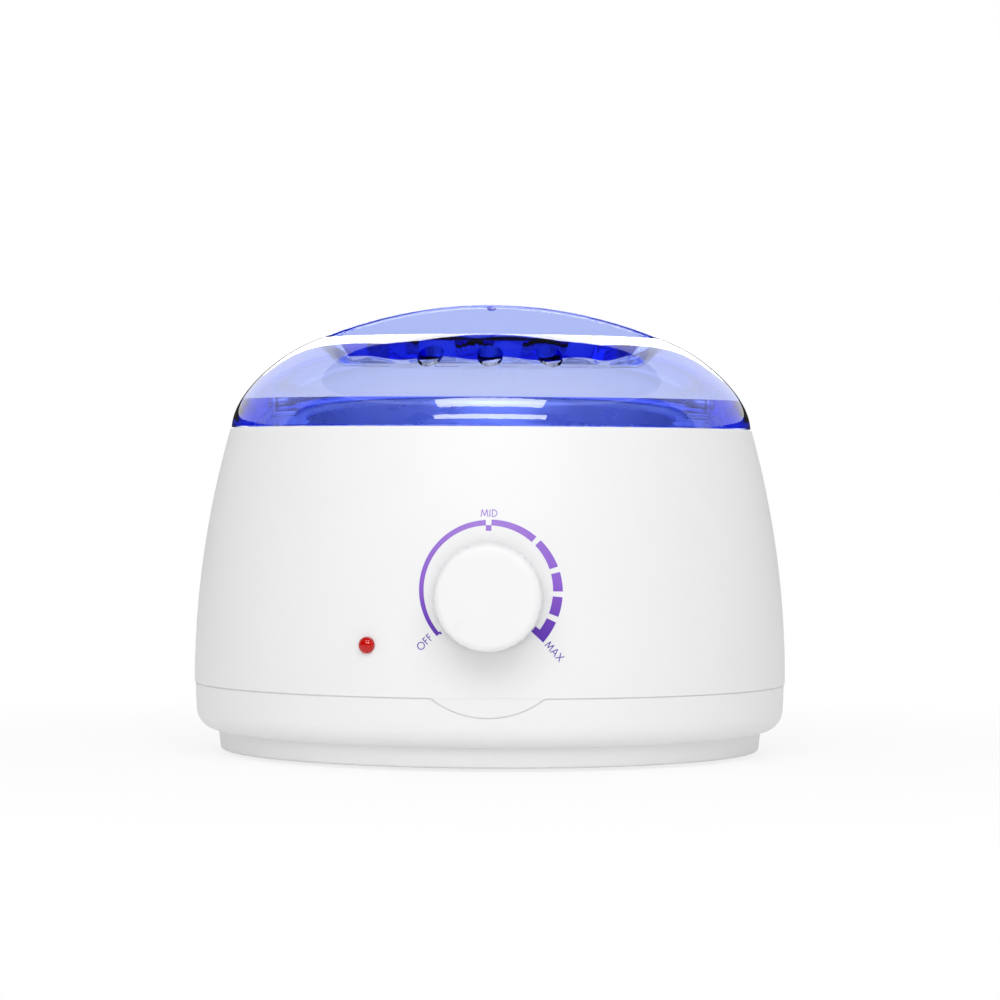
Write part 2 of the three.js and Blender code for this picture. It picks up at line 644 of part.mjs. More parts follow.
function baseHousing() {
  const spigotInR = SPIGOT_R - SPIGOT_WALL;
  const shell = turned([
    [0, BASE_Z],
    [PLINTH_R - PLINTH_DRAFT, BASE_Z],
    [PLINTH_R, BASE_Z + PLINTH_H],
    ...shoulderArc(0),
    [BODY_R - BASE_TOP_INSET, SEAM_Z],
    [SPIGOT_R, SEAM_Z],
    [SPIGOT_R, SPIGOT_TOP_Z],
    [spigotInR, SPIGOT_TOP_Z],
    [spigotInR, BASE_Z + PLINTH_H + SHOULDER_R],
    ...shoulderArc(BASE_WALL).reverse().filter(([r]) => r < spigotInR),
    [PLINTH_R - PLINTH_DRAFT - BASE_WALL, FLOOR_Z],
    [0, FLOOR_Z],
  ]);
  const bosses = SCREW_DEGS.map((deg) => bar(
    polar(BASE_SCREW_PLACE_R, deg, BASE_Z + BASE_FLOOR / 2),
    polar(BASE_SCREW_PLACE_R, deg, BOSS_Z),
    BOSS_R,
  ));
  const cuts = [];
  for (const deg of SCREW_DEGS) {
    cuts.push(bar(
      polar(BASE_SCREW_PLACE_R, deg, BASE_Z - OVERRUN),
      polar(BASE_SCREW_PLACE_R, deg, BASE_Z + HEAD_WELL_DEPTH),
      SCREW_HEAD_R + SCREW_GAP,
    ));
    cuts.push(bar(
      polar(BASE_SCREW_PLACE_R, deg, BASE_Z),
      polar(BASE_SCREW_PLACE_R, deg, BOSS_Z + OVERRUN),
      BASE_SCREW_R + SCREW_GAP,
    ));
  }
  for (let i = 0; i < FOOT_COUNT; i += 1) {
    const deg = FOOT_FIRST_DEG + (i * 360) / FOOT_COUNT;
    cuts.push(bar(
      polar(FOOT_PLACE_R, deg, BASE_Z - OVERRUN),
      polar(FOOT_PLACE_R, deg, BASE_Z + FOOT_RECESS),
      FOOT_R + SEAT_GAP,
      ROUND_SIDES,
    ));
  }
  for (let i = 0; i < VENT_SLOT_COUNT; i += 1) {
    cuts.push(block(
      [VENT_SLOT_IN_R, -VENT_SLOT_W / 2, BASE_Z - OVERRUN],
      [VENT_SLOT_OUT_R, VENT_SLOT_W / 2, FLOOR_Z + OVERRUN],
    ).rotate([0, 0, ((i + 0.5) * 360) / VENT_SLOT_COUNT]));
  }
  for (const side of [-1, 1]) {
    cuts.push(bar(
      [side * BLOCK_SCREW_X, BLOCK_Y, FLOOR_Z - BLOCK_SCREW_PEG - SCREW_GAP],
      [side * BLOCK_SCREW_X, BLOCK_Y, FLOOR_Z + OVERRUN],
      BLOCK_SCREW_R + SCREW_GAP,
    ));
  }
  const notch = hoop(SPIGOT_R, BODY_R + OVERRUN, SEAM_Z - TONGUE_DROP - OVERRUN, SEAM_Z + SEAT_GAP / 2)
    .intersect(tonguePrism(SEAT_GAP));
  return shell.add(join(bosses)).subtract(join(cuts)).subtract(notch);
}

function foot() {
  const top = FOOT_STAND + FOOT_RECESS;
  return turned([
    [0, 0], [FOOT_R - FOOT_EDGE, 0], [FOOT_R, FOOT_EDGE], [FOOT_R, top], [0, top],
  ], ROUND_SIDES);
}

function heatingWell() {
  const top = WELL_FLANGE_Z + WELL_FLANGE_T;
  const flangeR = OPENING_R - SLIDE_GAP;
  const shell = turned([
    [0, WELL_UNDER_Z],
    [WELL_OUT_R - WELL_CORNER, WELL_UNDER_Z],
    [WELL_OUT_R, WELL_UNDER_Z + WELL_CORNER],
    [WELL_OUT_R, WELL_FLANGE_Z],
    [flangeR, WELL_FLANGE_Z],
    [flangeR, top],
    [WELL_R + WELL_WALL / 2, top],
    [WELL_R, top - WELL_WALL / 2],
    [WELL_R, WELL_FLOOR_Z + WELL_CORNER - WELL_WALL / 2],
    [WELL_R - WELL_CORNER + WELL_WALL / 2, WELL_FLOOR_Z],
    [0, WELL_FLOOR_Z],
  ]);
  const studs = [];
  for (let i = 0; i < STUD_COUNT; i += 1) {
    const deg = SIDE_DEG / 2 + (i * 360) / STUD_COUNT;
    studs.push(bar(
      polar(STUD_PLACE_R, deg, WELL_FLANGE_Z - STUD_L),
      polar(STUD_PLACE_R, deg, WELL_FLANGE_Z + WELL_FLANGE_T / 2),
      STUD_R,
    ));
  }
  studs.push(bar(
    [EARTH_STUD_X, EARTH_STUD_Y, WELL_UNDER_Z - EARTH_STUD_L],
    [EARTH_STUD_X, EARTH_STUD_Y, WELL_UNDER_Z + WELL_WALL / 2],
    EARTH_STUD_R,
  ));
  return shell.add(join(studs));
}

function wellGasket() {
  let gasket = hoop(WELL_OUT_R + SEAT_GAP, OPENING_R - SLIDE_GAP, LEDGE_Z, WELL_FLANGE_Z);
  for (let i = 0; i < STUD_COUNT; i += 1) {
    const deg = SIDE_DEG / 2 + (i * 360) / STUD_COUNT;
    gasket = gasket.subtract(bar(
      polar(STUD_PLACE_R, deg, LEDGE_Z - OVERRUN),
      polar(STUD_PLACE_R, deg, LEDGE_Z + OVERRUN),
      STUD_R + SCREW_GAP,
    ));
  }
  return gasket;
}

function waxPot() {
  const outR = WELL_R - POT_GAP;
  const lowR = outR - POT_DRAFT;
  const lowZ = WELL_FLOOR_Z + SLIDE_GAP;
  const inCorner = POT_CORNER - POT_WALL;
  return turned([
    [0, lowZ],
    [lowR - POT_CORNER, lowZ],
    [lowR - POT_CORNER * CORNER_SHARE, lowZ + POT_CORNER * CORNER_SHARE],
    [lowR, lowZ + POT_CORNER],
    [outR, POT_FLANGE_Z - POT_WALL],
    [outR + POT_WALL, POT_FLANGE_Z],
    [POT_FLANGE_R, POT_FLANGE_Z],
    [POT_FLANGE_R, POT_TOP_Z],
    [outR, POT_TOP_Z],
    [outR - POT_WALL, POT_TOP_Z - POT_WALL],
    [lowR - POT_WALL, lowZ + POT_WALL + inCorner],
    [lowR - POT_WALL - inCorner * CORNER_SHARE, lowZ + POT_WALL + inCorner * CORNER_SHARE],
    [lowR - POT_WALL - inCorner, lowZ + POT_WALL],
    [0, lowZ + POT_WALL],
  ]);
}

// Ear on the +X side of the pot's rim
function potEar() {
  const half = EAR_W / 2;
  const upright = plate([
    [-half, 0], [half, 0], [half, EAR_RISE - EAR_W * CORNER_SHARE],
    [half / 2, EAR_RISE], [-half / 2, EAR_RISE], [-half, EAR_RISE - EAR_W * CORNER_SHARE],
  ], 0, EAR_T);
  const turnedUp = upright.rotate([90, 0, 90]).translate([EAR_OUT_R - EAR_T, 0, POT_TOP_Z]);
  const footPlate = block(
    [EAR_OUT_R - EAR_FOOT_L, -half, POT_TOP_Z],
    [EAR_OUT_R - EAR_T / 2, half, POT_TOP_Z + EAR_FOOT_T],
  );
  const eye = bar(
    [EAR_OUT_R - OVERRUN, 0, BAIL_Z],
    [EAR_OUT_R + OVERRUN, 0, BAIL_Z],
    BAIL_WIRE_R + SEAT_GAP,
  );
  return turnedUp.add(footPlate).subtract(eye);
}

// Bail in the XY plane with its pivot line on X: a straight end through each ear, a bend and a half hoop
function potBail() {
  const endX = EAR_OUT_R + BAIL_END_PAST;
  const bendX = BAIL_R + BAIL_BEND_R;
  const path = new THREE.CurvePath();
  const right = new THREE.Vector3(endX, 0, 0);
  const rightIn = new THREE.Vector3(bendX, 0, 0);
  const rightUp = new THREE.Vector3(BAIL_R, BAIL_BEND_R, 0);
  path.add(new THREE.LineCurve3(right, rightIn));
  path.add(new THREE.QuadraticBezierCurve3(rightIn, new THREE.Vector3(BAIL_R, 0, 0), rightUp));
  const hoopPoints = [];
  for (let i = 0; i <= BAIL_HOOP_POINTS; i += 1) {
    const turn = (i / BAIL_HOOP_POINTS) * Math.PI;
    const y = BAIL_BEND_R + BAIL_HOOP_R * Math.sin(turn);
    hoopPoints.push(new THREE.Vector3(BAIL_R * Math.cos(turn), y, 0));
  }
  path.add(new THREE.CatmullRomCurve3(hoopPoints));
  const left = new THREE.Vector3(-endX, 0, 0);
  const leftIn = new THREE.Vector3(-bendX, 0, 0);
  const leftUp = new THREE.Vector3(-BAIL_R, BAIL_BEND_R, 0);
  path.add(new THREE.QuadraticBezierCurve3(leftUp, new THREE.Vector3(-BAIL_R, 0, 0), leftIn));
  path.add(new THREE.LineCurve3(leftIn, left));
  return wire(path, BAIL_WIRE_R, BAIL_WIRE_POINTS, BAIL_SIDES);
}

// Points of the lid's skin from the axis to its edge, set in by a wall
function lidSkin(inset) {
  const lean = rad(LID_EDGE_LEAN_DEG);
  const slope = Math.asin(LID_SHOULDER_IN_R / LID_ARC_R);
  const start = new THREE.Vector2(LID_SHOULDER_IN_R, domeHeight(LID_SHOULDER_IN_R));
  const edge = new THREE.Vector2(LID_EDGE_R, LID_EDGE_Z);
  const topPull = new THREE.Vector2(Math.cos(slope), -Math.sin(slope));
  topPull.multiplyScalar(LID_SHOULDER_TOP_PULL);
  const edgePull = new THREE.Vector2(-Math.sin(lean), Math.cos(lean));
  edgePull.multiplyScalar(LID_SHOULDER_EDGE_PULL);
  const curve = new THREE.CubicBezierCurve(start, topPull.add(start), edgePull.add(edge), edge);
  const points = [];
  for (let i = 0; i < DOME_POINTS; i += 1) {
    const turn = (i / DOME_POINTS) * slope;
    const radius = LID_ARC_R - inset;
    points.push([radius * Math.sin(turn), LID_TOP_Z - LID_ARC_R + radius * Math.cos(turn)]);
  }
  for (let i = 0; i <= SHOULDER_POINTS; i += 1) {
    const at = curve.getPoint(i / SHOULDER_POINTS);
    const along = curve.getTangent(i / SHOULDER_POINTS);
    points.push([at.x + along.y * inset, at.y - along.x * inset]);
  }
  return points;
}

// The two finger recesses as one cutter: a drum with a flared mouth, less the fin between its halves
function fingerRecess(inset, finW) {
  const floorZ = LID_TOP_Z - RECESS_DEPTH - inset;
  const wallR = RECESS_R + inset;
  const edgeZ = domeHeight(RECESS_R);
  const drum = turned([
    [0, floorZ],
    [wallR - RECESS_FILLET, floorZ],
    [wallR, floorZ + RECESS_FILLET],
    [wallR, edgeZ - RECESS_EDGE],
    [wallR + RECESS_EDGE, edgeZ],
    [wallR + RECESS_EDGE, LID_TOP_Z + OVERRUN],
    [0, LID_TOP_Z + OVERRUN],
  ]);
  return drum.subtract(block(
    [-LID_EDGE_R, -finW / 2, floorZ - OVERRUN],
    [LID_EDGE_R, finW / 2, LID_TOP_Z + 2 * OVERRUN],
  ));
}

function lid() {
  const outer = turned([...lidSkin(0), [0, LID_EDGE_Z]]);
  const inner = turned([
    ...lidSkin(LID_WALL),
    [LID_EDGE_R - LID_WALL, LID_EDGE_Z - OVERRUN],
    [0, LID_EDGE_Z - OVERRUN],
  ]);
  const cavity = inner.subtract(fingerRecess(LID_WALL, FIN_W - 2 * FIN_WALL));
  const lipR = OPENING_R - SLIDE_GAP;
  const lipLowZ = LID_EDGE_Z - LID_LIP_DEPTH;
  const lipBlank = hoop(lipR - LID_LIP_WALL, lipR, lipLowZ, domeHeight(RECESS_R));
  const belowEdge = bar([0, 0, lipLowZ], [0, 0, LID_EDGE_Z + SEAT_GAP], lipR + SEAT_GAP, RING_SIDES);
  const lipLimit = outer.add(belowEdge);
  const shell = outer.subtract(cavity).add(lipBlank.intersect(lipLimit)).subtract(fingerRecess(0, FIN_W));
  const vents = [-1, 0, 1].map((step) => {
    const deg = step * VENT_STEP_DEG - SIDE_DEG;
    const low = polar(VENT_PLACE_R, deg, domeHeight(VENT_PLACE_R) - OVERRUN);
    return bar(low, polar(VENT_PLACE_R, deg, LID_TOP_Z), VENT_R, ROUND_SIDES);
  });
  return shell.subtract(join(vents));
}

// Rings of the knob's fluted outside, as [height, radius, flute depth]
const KNOB_RINGS = [
  [0, KNOB_R, KNOB_FLUTE_DEPTH],
  [KNOB_DEPTH - KNOB_EDGE, KNOB_R - KNOB_SKIRT_TAPER, KNOB_FLUTE_DEPTH],
  [
    KNOB_DEPTH - KNOB_EDGE * KNOB_EDGE_LOW_SHARE,
    KNOB_R - KNOB_SKIRT_TAPER - KNOB_EDGE * KNOB_EDGE_LOW_IN_SHARE,
    0,
  ],
  [
    KNOB_DEPTH - KNOB_EDGE * KNOB_EDGE_HIGH_SHARE,
    KNOB_FACE_R + KNOB_EDGE * KNOB_EDGE_HIGH_OUT_SHARE,
    0,
  ],
  [KNOB_DEPTH, KNOB_FACE_R, 0],
];

// Knob on its own axis, its back at z = 0 and its face at the top
function knob() {
  const around = 2 * KNOB_FLUTE_COUNT;
  const places = [0, 0, 0];
  const faces = [];
  for (const [z, r, depth] of KNOB_RINGS) {
    for (let i = 0; i < around; i += 1) {
      const turn = (i / around) * 2 * Math.PI;
      const radius = r - (i % 2) * depth;
      places.push(radius * Math.cos(turn), radius * Math.sin(turn), z);
    }
  }
  const last = KNOB_RINGS.length - 1;
  places.push(0, 0, KNOB_DEPTH);
  const topMiddle = 1 + KNOB_RINGS.length * around;
  for (let i = 0; i < around; i += 1) {
    const next = (i + 1) % around;
    faces.push(0, 1 + next, 1 + i);
    faces.push(topMiddle, 1 + last * around + i, 1 + last * around + next);
    for (let level = 0; level < last; level += 1) {
      const low = 1 + level * around;
      const high = low + around;
      faces.push(low + i, low + next, high + next, low + i, high + next, high + i);
    }
  }
  const geometry = new THREE.BufferGeometry();
  geometry.setAttribute('position', new THREE.Float32BufferAttribute(places, 3));
  geometry.setIndex(faces);
  const hollow = hoop(
    KNOB_HUB_R,
    KNOB_R - KNOB_SKIRT_TAPER - KNOB_WALL,
    -OVERRUN,
    KNOB_DEPTH - KNOB_EDGE - KNOB_WALL,
  );
  const boreFlat = SHAFT_R - SHAFT_FLAT + SEAT_GAP;
  const bore = dShaft(SHAFT_R + SEAT_GAP, -OVERRUN, SHAFT_IN_KNOB + SEAT_GAP, boreFlat);
  const pointer = block(
    [KNOB_FACE_R - POINTER_L, -POINTER_W / 2, KNOB_DEPTH - POINTER_DEPTH],
    [KNOB_R, POINTER_W / 2, KNOB_DEPTH + OVERRUN],
  );
  const groove = pointer.rotate([0, 0, POINTER_DEG + SIDE_DEG]);
  return solid(geometry).subtract(hollow).subtract(bore).subtract(groove);
}

// A round bar on Z with a flat along it, at a distance from the axis
function dShaft(radius, lowZ, highZ, flatAt) {
  const half = Math.sqrt(radius ** 2 - flatAt ** 2);
  const outline = [];
  for (let i = 0; i < ROUND_SIDES; i += 1) {
    const [x, y] = polar(radius, (i * 360) / ROUND_SIDES, 0);
    if (x < flatAt - SEAT_GAP) outline.push([x, y]);
  }
  return plate([[flatAt, half], ...outline, [flatAt, -half]], lowZ, highZ);
}

function thermostatShaft() {
  const low = SHAFT_LOW_Y - KNOB_BACK_Y;
  const roundPart = bar([0, 0, low], [0, 0, 0], SHAFT_R, ROUND_SIDES);
  const flatted = dShaft(SHAFT_R, low, SHAFT_HIGH_Y - KNOB_BACK_Y, SHAFT_R - SHAFT_FLAT);
  return roundPart.add(flatted);
}

function thermostatBody() {
  const body = block(
    [-THERMOSTAT_W / 2, -THERMOSTAT_FRONT_Y, THERMOSTAT_LOW_Z],
    [THERMOSTAT_W / 2, -THERMOSTAT_BACK_Y, KNOB_Z + THERMOSTAT_H / 2],
  );
  const bush = bar([0, -THERMOSTAT_MID_Y, KNOB_Z], [0, -BUSH_OUT_Y, KNOB_Z], BUSH_R, ROUND_SIDES);
  const tabs = [-1, 0, 1].map((step) => block(
    [step * TAB_STEP - TAB_W / 2, -THERMOSTAT_MID_Y - TAB_T / 2, THERMOSTAT_LOW_Z - TAB_L],
    [step * TAB_STEP + TAB_W / 2, -THERMOSTAT_MID_Y + TAB_T / 2, THERMOSTAT_LOW_Z + TAB_T],
  ));
  const socket = bar(
    [0, -THERMOSTAT_FRONT_Y + SHAFT_SOCKET, KNOB_Z],
    [0, -BODY_R, KNOB_Z],
    SHAFT_R + SEAT_GAP,
    ROUND_SIDES,
  );
  return join([body, bush, ...tabs]).subtract(socket);
}

function thermostatBracket() {
  const sheet = block(
    [-BRACKET_W / 2, -BRACKET_Y, KNOB_Z - BRACKET_H / 2],
    [BRACKET_W / 2, -THERMOSTAT_FRONT_Y, KNOB_Z + BRACKET_H / 2],
  );
  const cuts = [bar([0, 0, KNOB_Z], [0, -BODY_R, KNOB_Z], BUSH_R + SEAT_GAP, ROUND_SIDES)];
  for (const side of [-1, 1]) {
    const x = side * BRACKET_SCREW_X;
    cuts.push(bar([x, 0, KNOB_Z], [x, -BODY_R, KNOB_Z], BRACKET_SCREW_R + SCREW_GAP));
  }
  return sheet.subtract(join(cuts));
}

// Clamped heater band, split at the rear between two lugs
function heaterBand() {
  const band = hoop(BAND_IN_R, BAND_OUT_R, BAND_LOW_Z, BAND_HIGH_Z);
  const half = BAND_SPLIT_W / 2;
  const split = block([-half, 0, BAND_LOW_Z - OVERRUN], [half, BODY_R, BAND_HIGH_Z + OVERRUN]);
  const lugs = [-1, 1].map((side) => {
    const [near, far] = [side * half, side * (half + LUG_T)];
    return block(
      [Math.min(near, far), BAND_TAB_R, BAND_MID_Z - LUG_H / 2],
      [Math.max(near, far), BAND_OUT_R + LUG_L, BAND_MID_Z + LUG_H / 2],
    );
  });
  const tabs = [-1, 1].map((side) => block(
    [BAND_TAB_R - TAB_T / 2, -TAB_W / 2, BAND_LOW_Z - TAB_L],
    [BAND_TAB_R + TAB_T / 2, TAB_W / 2, BAND_LOW_Z + TAB_T],
  ).rotate([0, 0, SIDE_DEG + side * BAND_TAB_DEG]));
  const hole = bar([-BODY_R, LUG_HOLE_Y, BAND_MID_Z], [BODY_R, LUG_HOLE_Y, BAND_MID_Z], STUD_R + SCREW_GAP);
  return join([band.subtract(split), ...lugs, ...tabs]).subtract(hole);
}

function insulationSleeve() {
  const inR = BAND_OUT_R + SEAT_GAP;
  const sleeve = hoop(inR, inR + WRAP_T, BAND_LOW_Z - WRAP_PAST, BAND_HIGH_Z + WRAP_PAST);
  const reach = BODY_R + OVERRUN;
  const side = reach * Math.tan(rad(WRAP_OPEN_DEG / 2));
  const wedge = plate([[0, 0], [side, reach], [-side, reach]], 0, RIM_Z);
  return sleeve.subtract(wedge);
}

function terminalBlock() {
  const topZ = FLOOR_Z + BLOCK_H;
  let body = block(
    [-BLOCK_W / 2, BLOCK_Y - BLOCK_D / 2, FLOOR_Z],
    [BLOCK_W / 2, BLOCK_Y + BLOCK_D / 2, topZ],
  );
  for (const pole of [-1, 0, 1]) {
    const x = pole * POLE_STEP;
    const bottom = topZ - POLE_STEP / 2;
    body = body.subtract(bar([x, BLOCK_Y, bottom], [x, BLOCK_Y, topZ + OVERRUN], POLE_BORE_R));
  }
  for (const side of [-1, 1]) {
    const x = side * BLOCK_SCREW_X;
    body = body.subtract(bar([x, BLOCK_Y, 0], [x, BLOCK_Y, topZ + OVERRUN], BLOCK_SCREW_R + SCREW_GAP));
  }
  return body;
}

// Rubber gland on its own axis, z = 0 at the outside of the wall, its outer flange at the top
function cordGland() {
  const behind = -HOUSING_WALL - 2 * SEAT_GAP - GLAND_WALL_SAG;
  return ring([
    [GLAND_BORE_R, behind - GLAND_FLANGE_T],
    [GLAND_FLANGE_R, behind - GLAND_FLANGE_T],
    [GLAND_FLANGE_R, behind],
    [GLAND_NECK_R, behind],
    [GLAND_NECK_R, SEAT_GAP],
    [GLAND_FLANGE_R, SEAT_GAP],
    [GLAND_FLANGE_R, GLAND_FLANGE_T],
    [GLAND_FLANGE_R - GLAND_FLANGE_T / 2, GLAND_FLANGE_T + SEAT_GAP],
    [GLAND_BORE_R, GLAND_FLANGE_T + SEAT_GAP],
  ], ROUND_SIDES);
}

// Lamp pieces on their own axis, z = 0 at the outside of the wall
function lampLens() {
  return turned([
    [0, -LAMP_SHANK_L],
    [LAMP_SHANK_R, -LAMP_SHANK_L],
    [LAMP_SHANK_R, SEAT_GAP],
    [LAMP_R, SEAT_GAP],
    [LAMP_R * LAMP_DOME_LOW_SHARE, LAMP_DOME_H * LAMP_DOME_LOW_H_SHARE],
    [LAMP_R * LAMP_DOME_HIGH_SHARE, LAMP_DOME_H * LAMP_DOME_HIGH_H_SHARE],
    [0, LAMP_DOME_H + SEAT_GAP],
  ], ROUND_SIDES);
}

const warmer = new THREE.Group();

put(warmer, 'upper_housing', upperHousing(), WHITE_PLASTIC);
put(warmer, 'base_housing', baseHousing(), WHITE_PLASTIC);
put(warmer, 'heating_well', heatingWell(), ALUMINIUM);
put(warmer, 'well_gasket', wellGasket(), SILICONE);
put(warmer, 'lid', lid(), BLUE_CLEAR);
put(warmer, 'wax_pot', waxPot(), ALUMINIUM);

for (const [name, deg] of [['pot_ear_right', 0], ['pot_ear_left', 2 * SIDE_DEG]]) {
  put(turnedGroup(warmer, deg), name, potEar(), STEEL);
}
const bail = put(warmer, 'pot_bail', potBail(), STEEL);
bail.position.z = BAIL_Z;
bail.rotation.x = -Math.asin((BAIL_PIVOT_RISE - BAIL_WIRE_R - SEAT_GAP) / BAIL_R);

for (let i = 0; i < STUD_COUNT; i += 1) {
  const group = turnedGroup(warmer, SIDE_DEG / 2 + (i * 360) / STUD_COUNT);
  const piece = put(group, `well_nut_${i + 1}`, nut(NUT_R, NUT_T, STUD_R + SCREW_GAP), ZINC);
  piece.position.set(STUD_PLACE_R, 0, LEDGE_Z - LEDGE_T - NUT_T);
}

for (let i = 0; i < FOOT_COUNT; i += 1) {
  const group = turnedGroup(warmer, FOOT_FIRST_DEG + (i * 360) / FOOT_COUNT);
  put(group, `foot_${i + 1}`, foot(), RUBBER).position.x = FOOT_PLACE_R;
}

SCREW_DEGS.forEach((deg, i) => {
  const shape = screw(BASE_SCREW_R, BASE_SCREW_L);
  const piece = put(turnedGroup(warmer, deg), `base_screw_${i + 1}`, shape, ZINC);
  piece.position.set(BASE_SCREW_PLACE_R, 0, BASE_Z + HEAD_WELL_DEPTH);
});

// Knob and shaft, in a group whose Z points out of the front
const front = new THREE.Group();
front.position.set(0, -KNOB_BACK_Y, KNOB_Z);
front.rotation.x = Math.PI / 2;
warmer.add(front);
put(front, 'knob', knob(), WHITE_PLASTIC);
put(front, 'thermostat_shaft', thermostatShaft(), STEEL);

put(warmer, 'thermostat_body', thermostatBody(), DARK_BAKELITE);
put(warmer, 'thermostat_bracket', thermostatBracket(), ZINC);
const bushNut = put(warmer, 'thermostat_nut', nut(THERMOSTAT_NUT_R, NUT_T, BUSH_R + SEAT_GAP), ZINC);
bushNut.position.set(0, -BRACKET_Y - SEAT_GAP, KNOB_Z);
bushNut.rotation.x = Math.PI / 2;
[-1, 1].forEach((side, i) => {
  const shape = screw(BRACKET_SCREW_R, BRACKET_SCREW_L);
  const piece = put(warmer, `bracket_screw_${i + 1}`, shape, ZINC);
  piece.position.set(side * BRACKET_SCREW_X, -THERMOSTAT_FRONT_Y + SEAT_GAP, KNOB_Z);
  piece.rotation.x = Math.PI / 2;
});

put(warmer, 'heater_band', heaterBand(), MICA_STEEL);
put(warmer, 'insulation_sleeve', insulationSleeve(), GLASS_WOOL);
const lugOut = BAND_SPLIT_W / 2 + LUG_T;
const bandScrew = put(
  warmer,
  'band_screw',
  screw(STUD_R, 2 * lugOut + NUT_T + 3 * SEAT_GAP),
  ZINC,
);
bandScrew.position.set(lugOut + SEAT_GAP, LUG_HOLE_Y, BAND_MID_Z);
bandScrew.rotation.y = -Math.PI / 2;
const bandNut = put(warmer, 'band_nut', nut(NUT_R, NUT_T, STUD_R + SCREW_GAP), ZINC);
bandNut.position.set(-lugOut - SEAT_GAP, LUG_HOLE_Y, BAND_MID_Z);
bandNut.rotation.y = -Math.PI / 2;

// Temperature sensor, held upright against the well's wall
const sensorGroup = turnedGroup(warmer, -BULB_DEG);
const bulb = bar([0, -BULB_Y, BULB_LOW_Z], [0, -BULB_Y, BULB_LOW_Z + BULB_L], BULB_R);
put(sensorGroup, 'sensor_bulb', bulb, COPPER);
const sensorClip = put(sensorGroup, 'sensor_clip', hatClip(BULB_R, 0), STEEL);
sensorClip.position.set(0, -WELL_OUT_R - SEAT_GAP, BULB_LOW_Z + BULB_L / 2);

// Thermal fuse, held against the underside of the well
const fuse = bar([FUSE_X, -FUSE_L / 2, FUSE_Z], [FUSE_X, FUSE_L / 2, FUSE_Z], FUSE_R);
put(warmer, 'thermal_fuse', fuse, CERAMIC);
const fuseClip = put(warmer, 'fuse_clip', hatClip(FUSE_R, SEAT_GAP), STEEL);
fuseClip.position.set(FUSE_X, 0, WELL_UNDER_Z - SEAT_GAP);
fuseClip.rotation.x = Math.PI / 2;

put(warmer, 'terminal_block', terminalBlock(), WHITE_WIRE);
[-1, 1].forEach((side, i) => {
  const shape = screw(BLOCK_SCREW_R, BLOCK_H + BLOCK_SCREW_PEG, BLOCK_SCREW_IN - SEAT_GAP);
  const piece = put(warmer, `terminal_screw_${i + 1}`, shape, ZINC);
  piece.position.set(side * BLOCK_SCREW_X, BLOCK_Y, FLOOR_Z + BLOCK_H + SEAT_GAP);
  piece.rotation.x = Math.PI;
});

const gland = put(warmer, 'cord_gland', cordGland(), BLACK_PLASTIC);
gland.position.set(0, sideRadius(GLAND_Z - GLAND_FLANGE_R), GLAND_Z);
gland.rotation.x = -Math.PI / 2;

// Indicator lamp, in a group whose Z points out of the wall
const lampTurn = turnedGroup(warmer, -LAMP_DEG);
const lamp = new THREE.Group();
lamp.position.set(0, -LAMP_WALL_R, LAMP_Z);
lamp.rotation.x = Math.PI / 2;
lampTurn.add(lamp);
const holderTop = -HOUSING_WALL - 2 * SEAT_GAP;
const bulbTop = -LAMP_SHANK_L - SEAT_GAP;
put(lamp, 'lamp_lens', lampLens(), RED_CLEAR);
put(lamp, 'lamp_holder', hoop(
  LAMP_SHANK_R + SEAT_GAP,
  LAMP_HOLDER_R,
  holderTop - LAMP_HOLDER_L,
  holderTop,
  ROUND_SIDES,
), BLACK_PLASTIC);
put(lamp, 'lamp_bulb', bar([0, 0, bulbTop - LAMP_BULB_L], [0, 0, bulbTop], LAMP_BULB_R), NEON_GLASS);

// Routes of the leads and the sensor's capillary, point by point from terminal to terminal
const BLOCK_FRONT_Y = BLOCK_Y - BLOCK_D / 2 - SEAT_GAP;
const LEAD_LOW_Z = FLOOR_Z + LEAD_LOW;
const LEAD_HIGH_Z = FLOOR_Z + LEAD_HIGH;
const TAB_END_Z = THERMOSTAT_LOW_Z - TAB_L - SEAT_GAP;
const BAND_TAB_END_Z = BAND_LOW_Z - TAB_L - SEAT_GAP;
const tabA = polar(BAND_TAB_R, SIDE_DEG - BAND_TAB_DEG, BAND_TAB_END_Z);
const tabB = polar(BAND_TAB_R, SIDE_DEG + BAND_TAB_DEG, BAND_TAB_END_Z);
const fuseEnd = FUSE_L / 2 + SEAT_GAP;
const lampInR = LAMP_WALL_R + bulbTop - LAMP_BULB_L - SEAT_GAP;
const lampStep = THREE.MathUtils.radToDeg(LAMP_LEAD_STEP / lampInR);
const lampA = polar(lampInR, LAMP_TURN_DEG + lampStep, LAMP_Z);
const lampB = polar(lampInR, LAMP_TURN_DEG - lampStep, LAMP_Z);
const bulbFoot = polar(BULB_Y, -SIDE_DEG - BULB_DEG, BULB_LOW_Z - SEAT_GAP);
const thermostatSide = [-THERMOSTAT_W / 2 - SEAT_GAP, -THERMOSTAT_MID_Y, KNOB_Z];

// Moves a terminal's point by steps along X, Y and Z, so that a lead leaves it straight
function off([x, y, z], [dx, dy, dz]) {
  return [x + dx * LEAD_STUB, y + dy * LEAD_STUB, z + dz * LEAD_STUB];
}

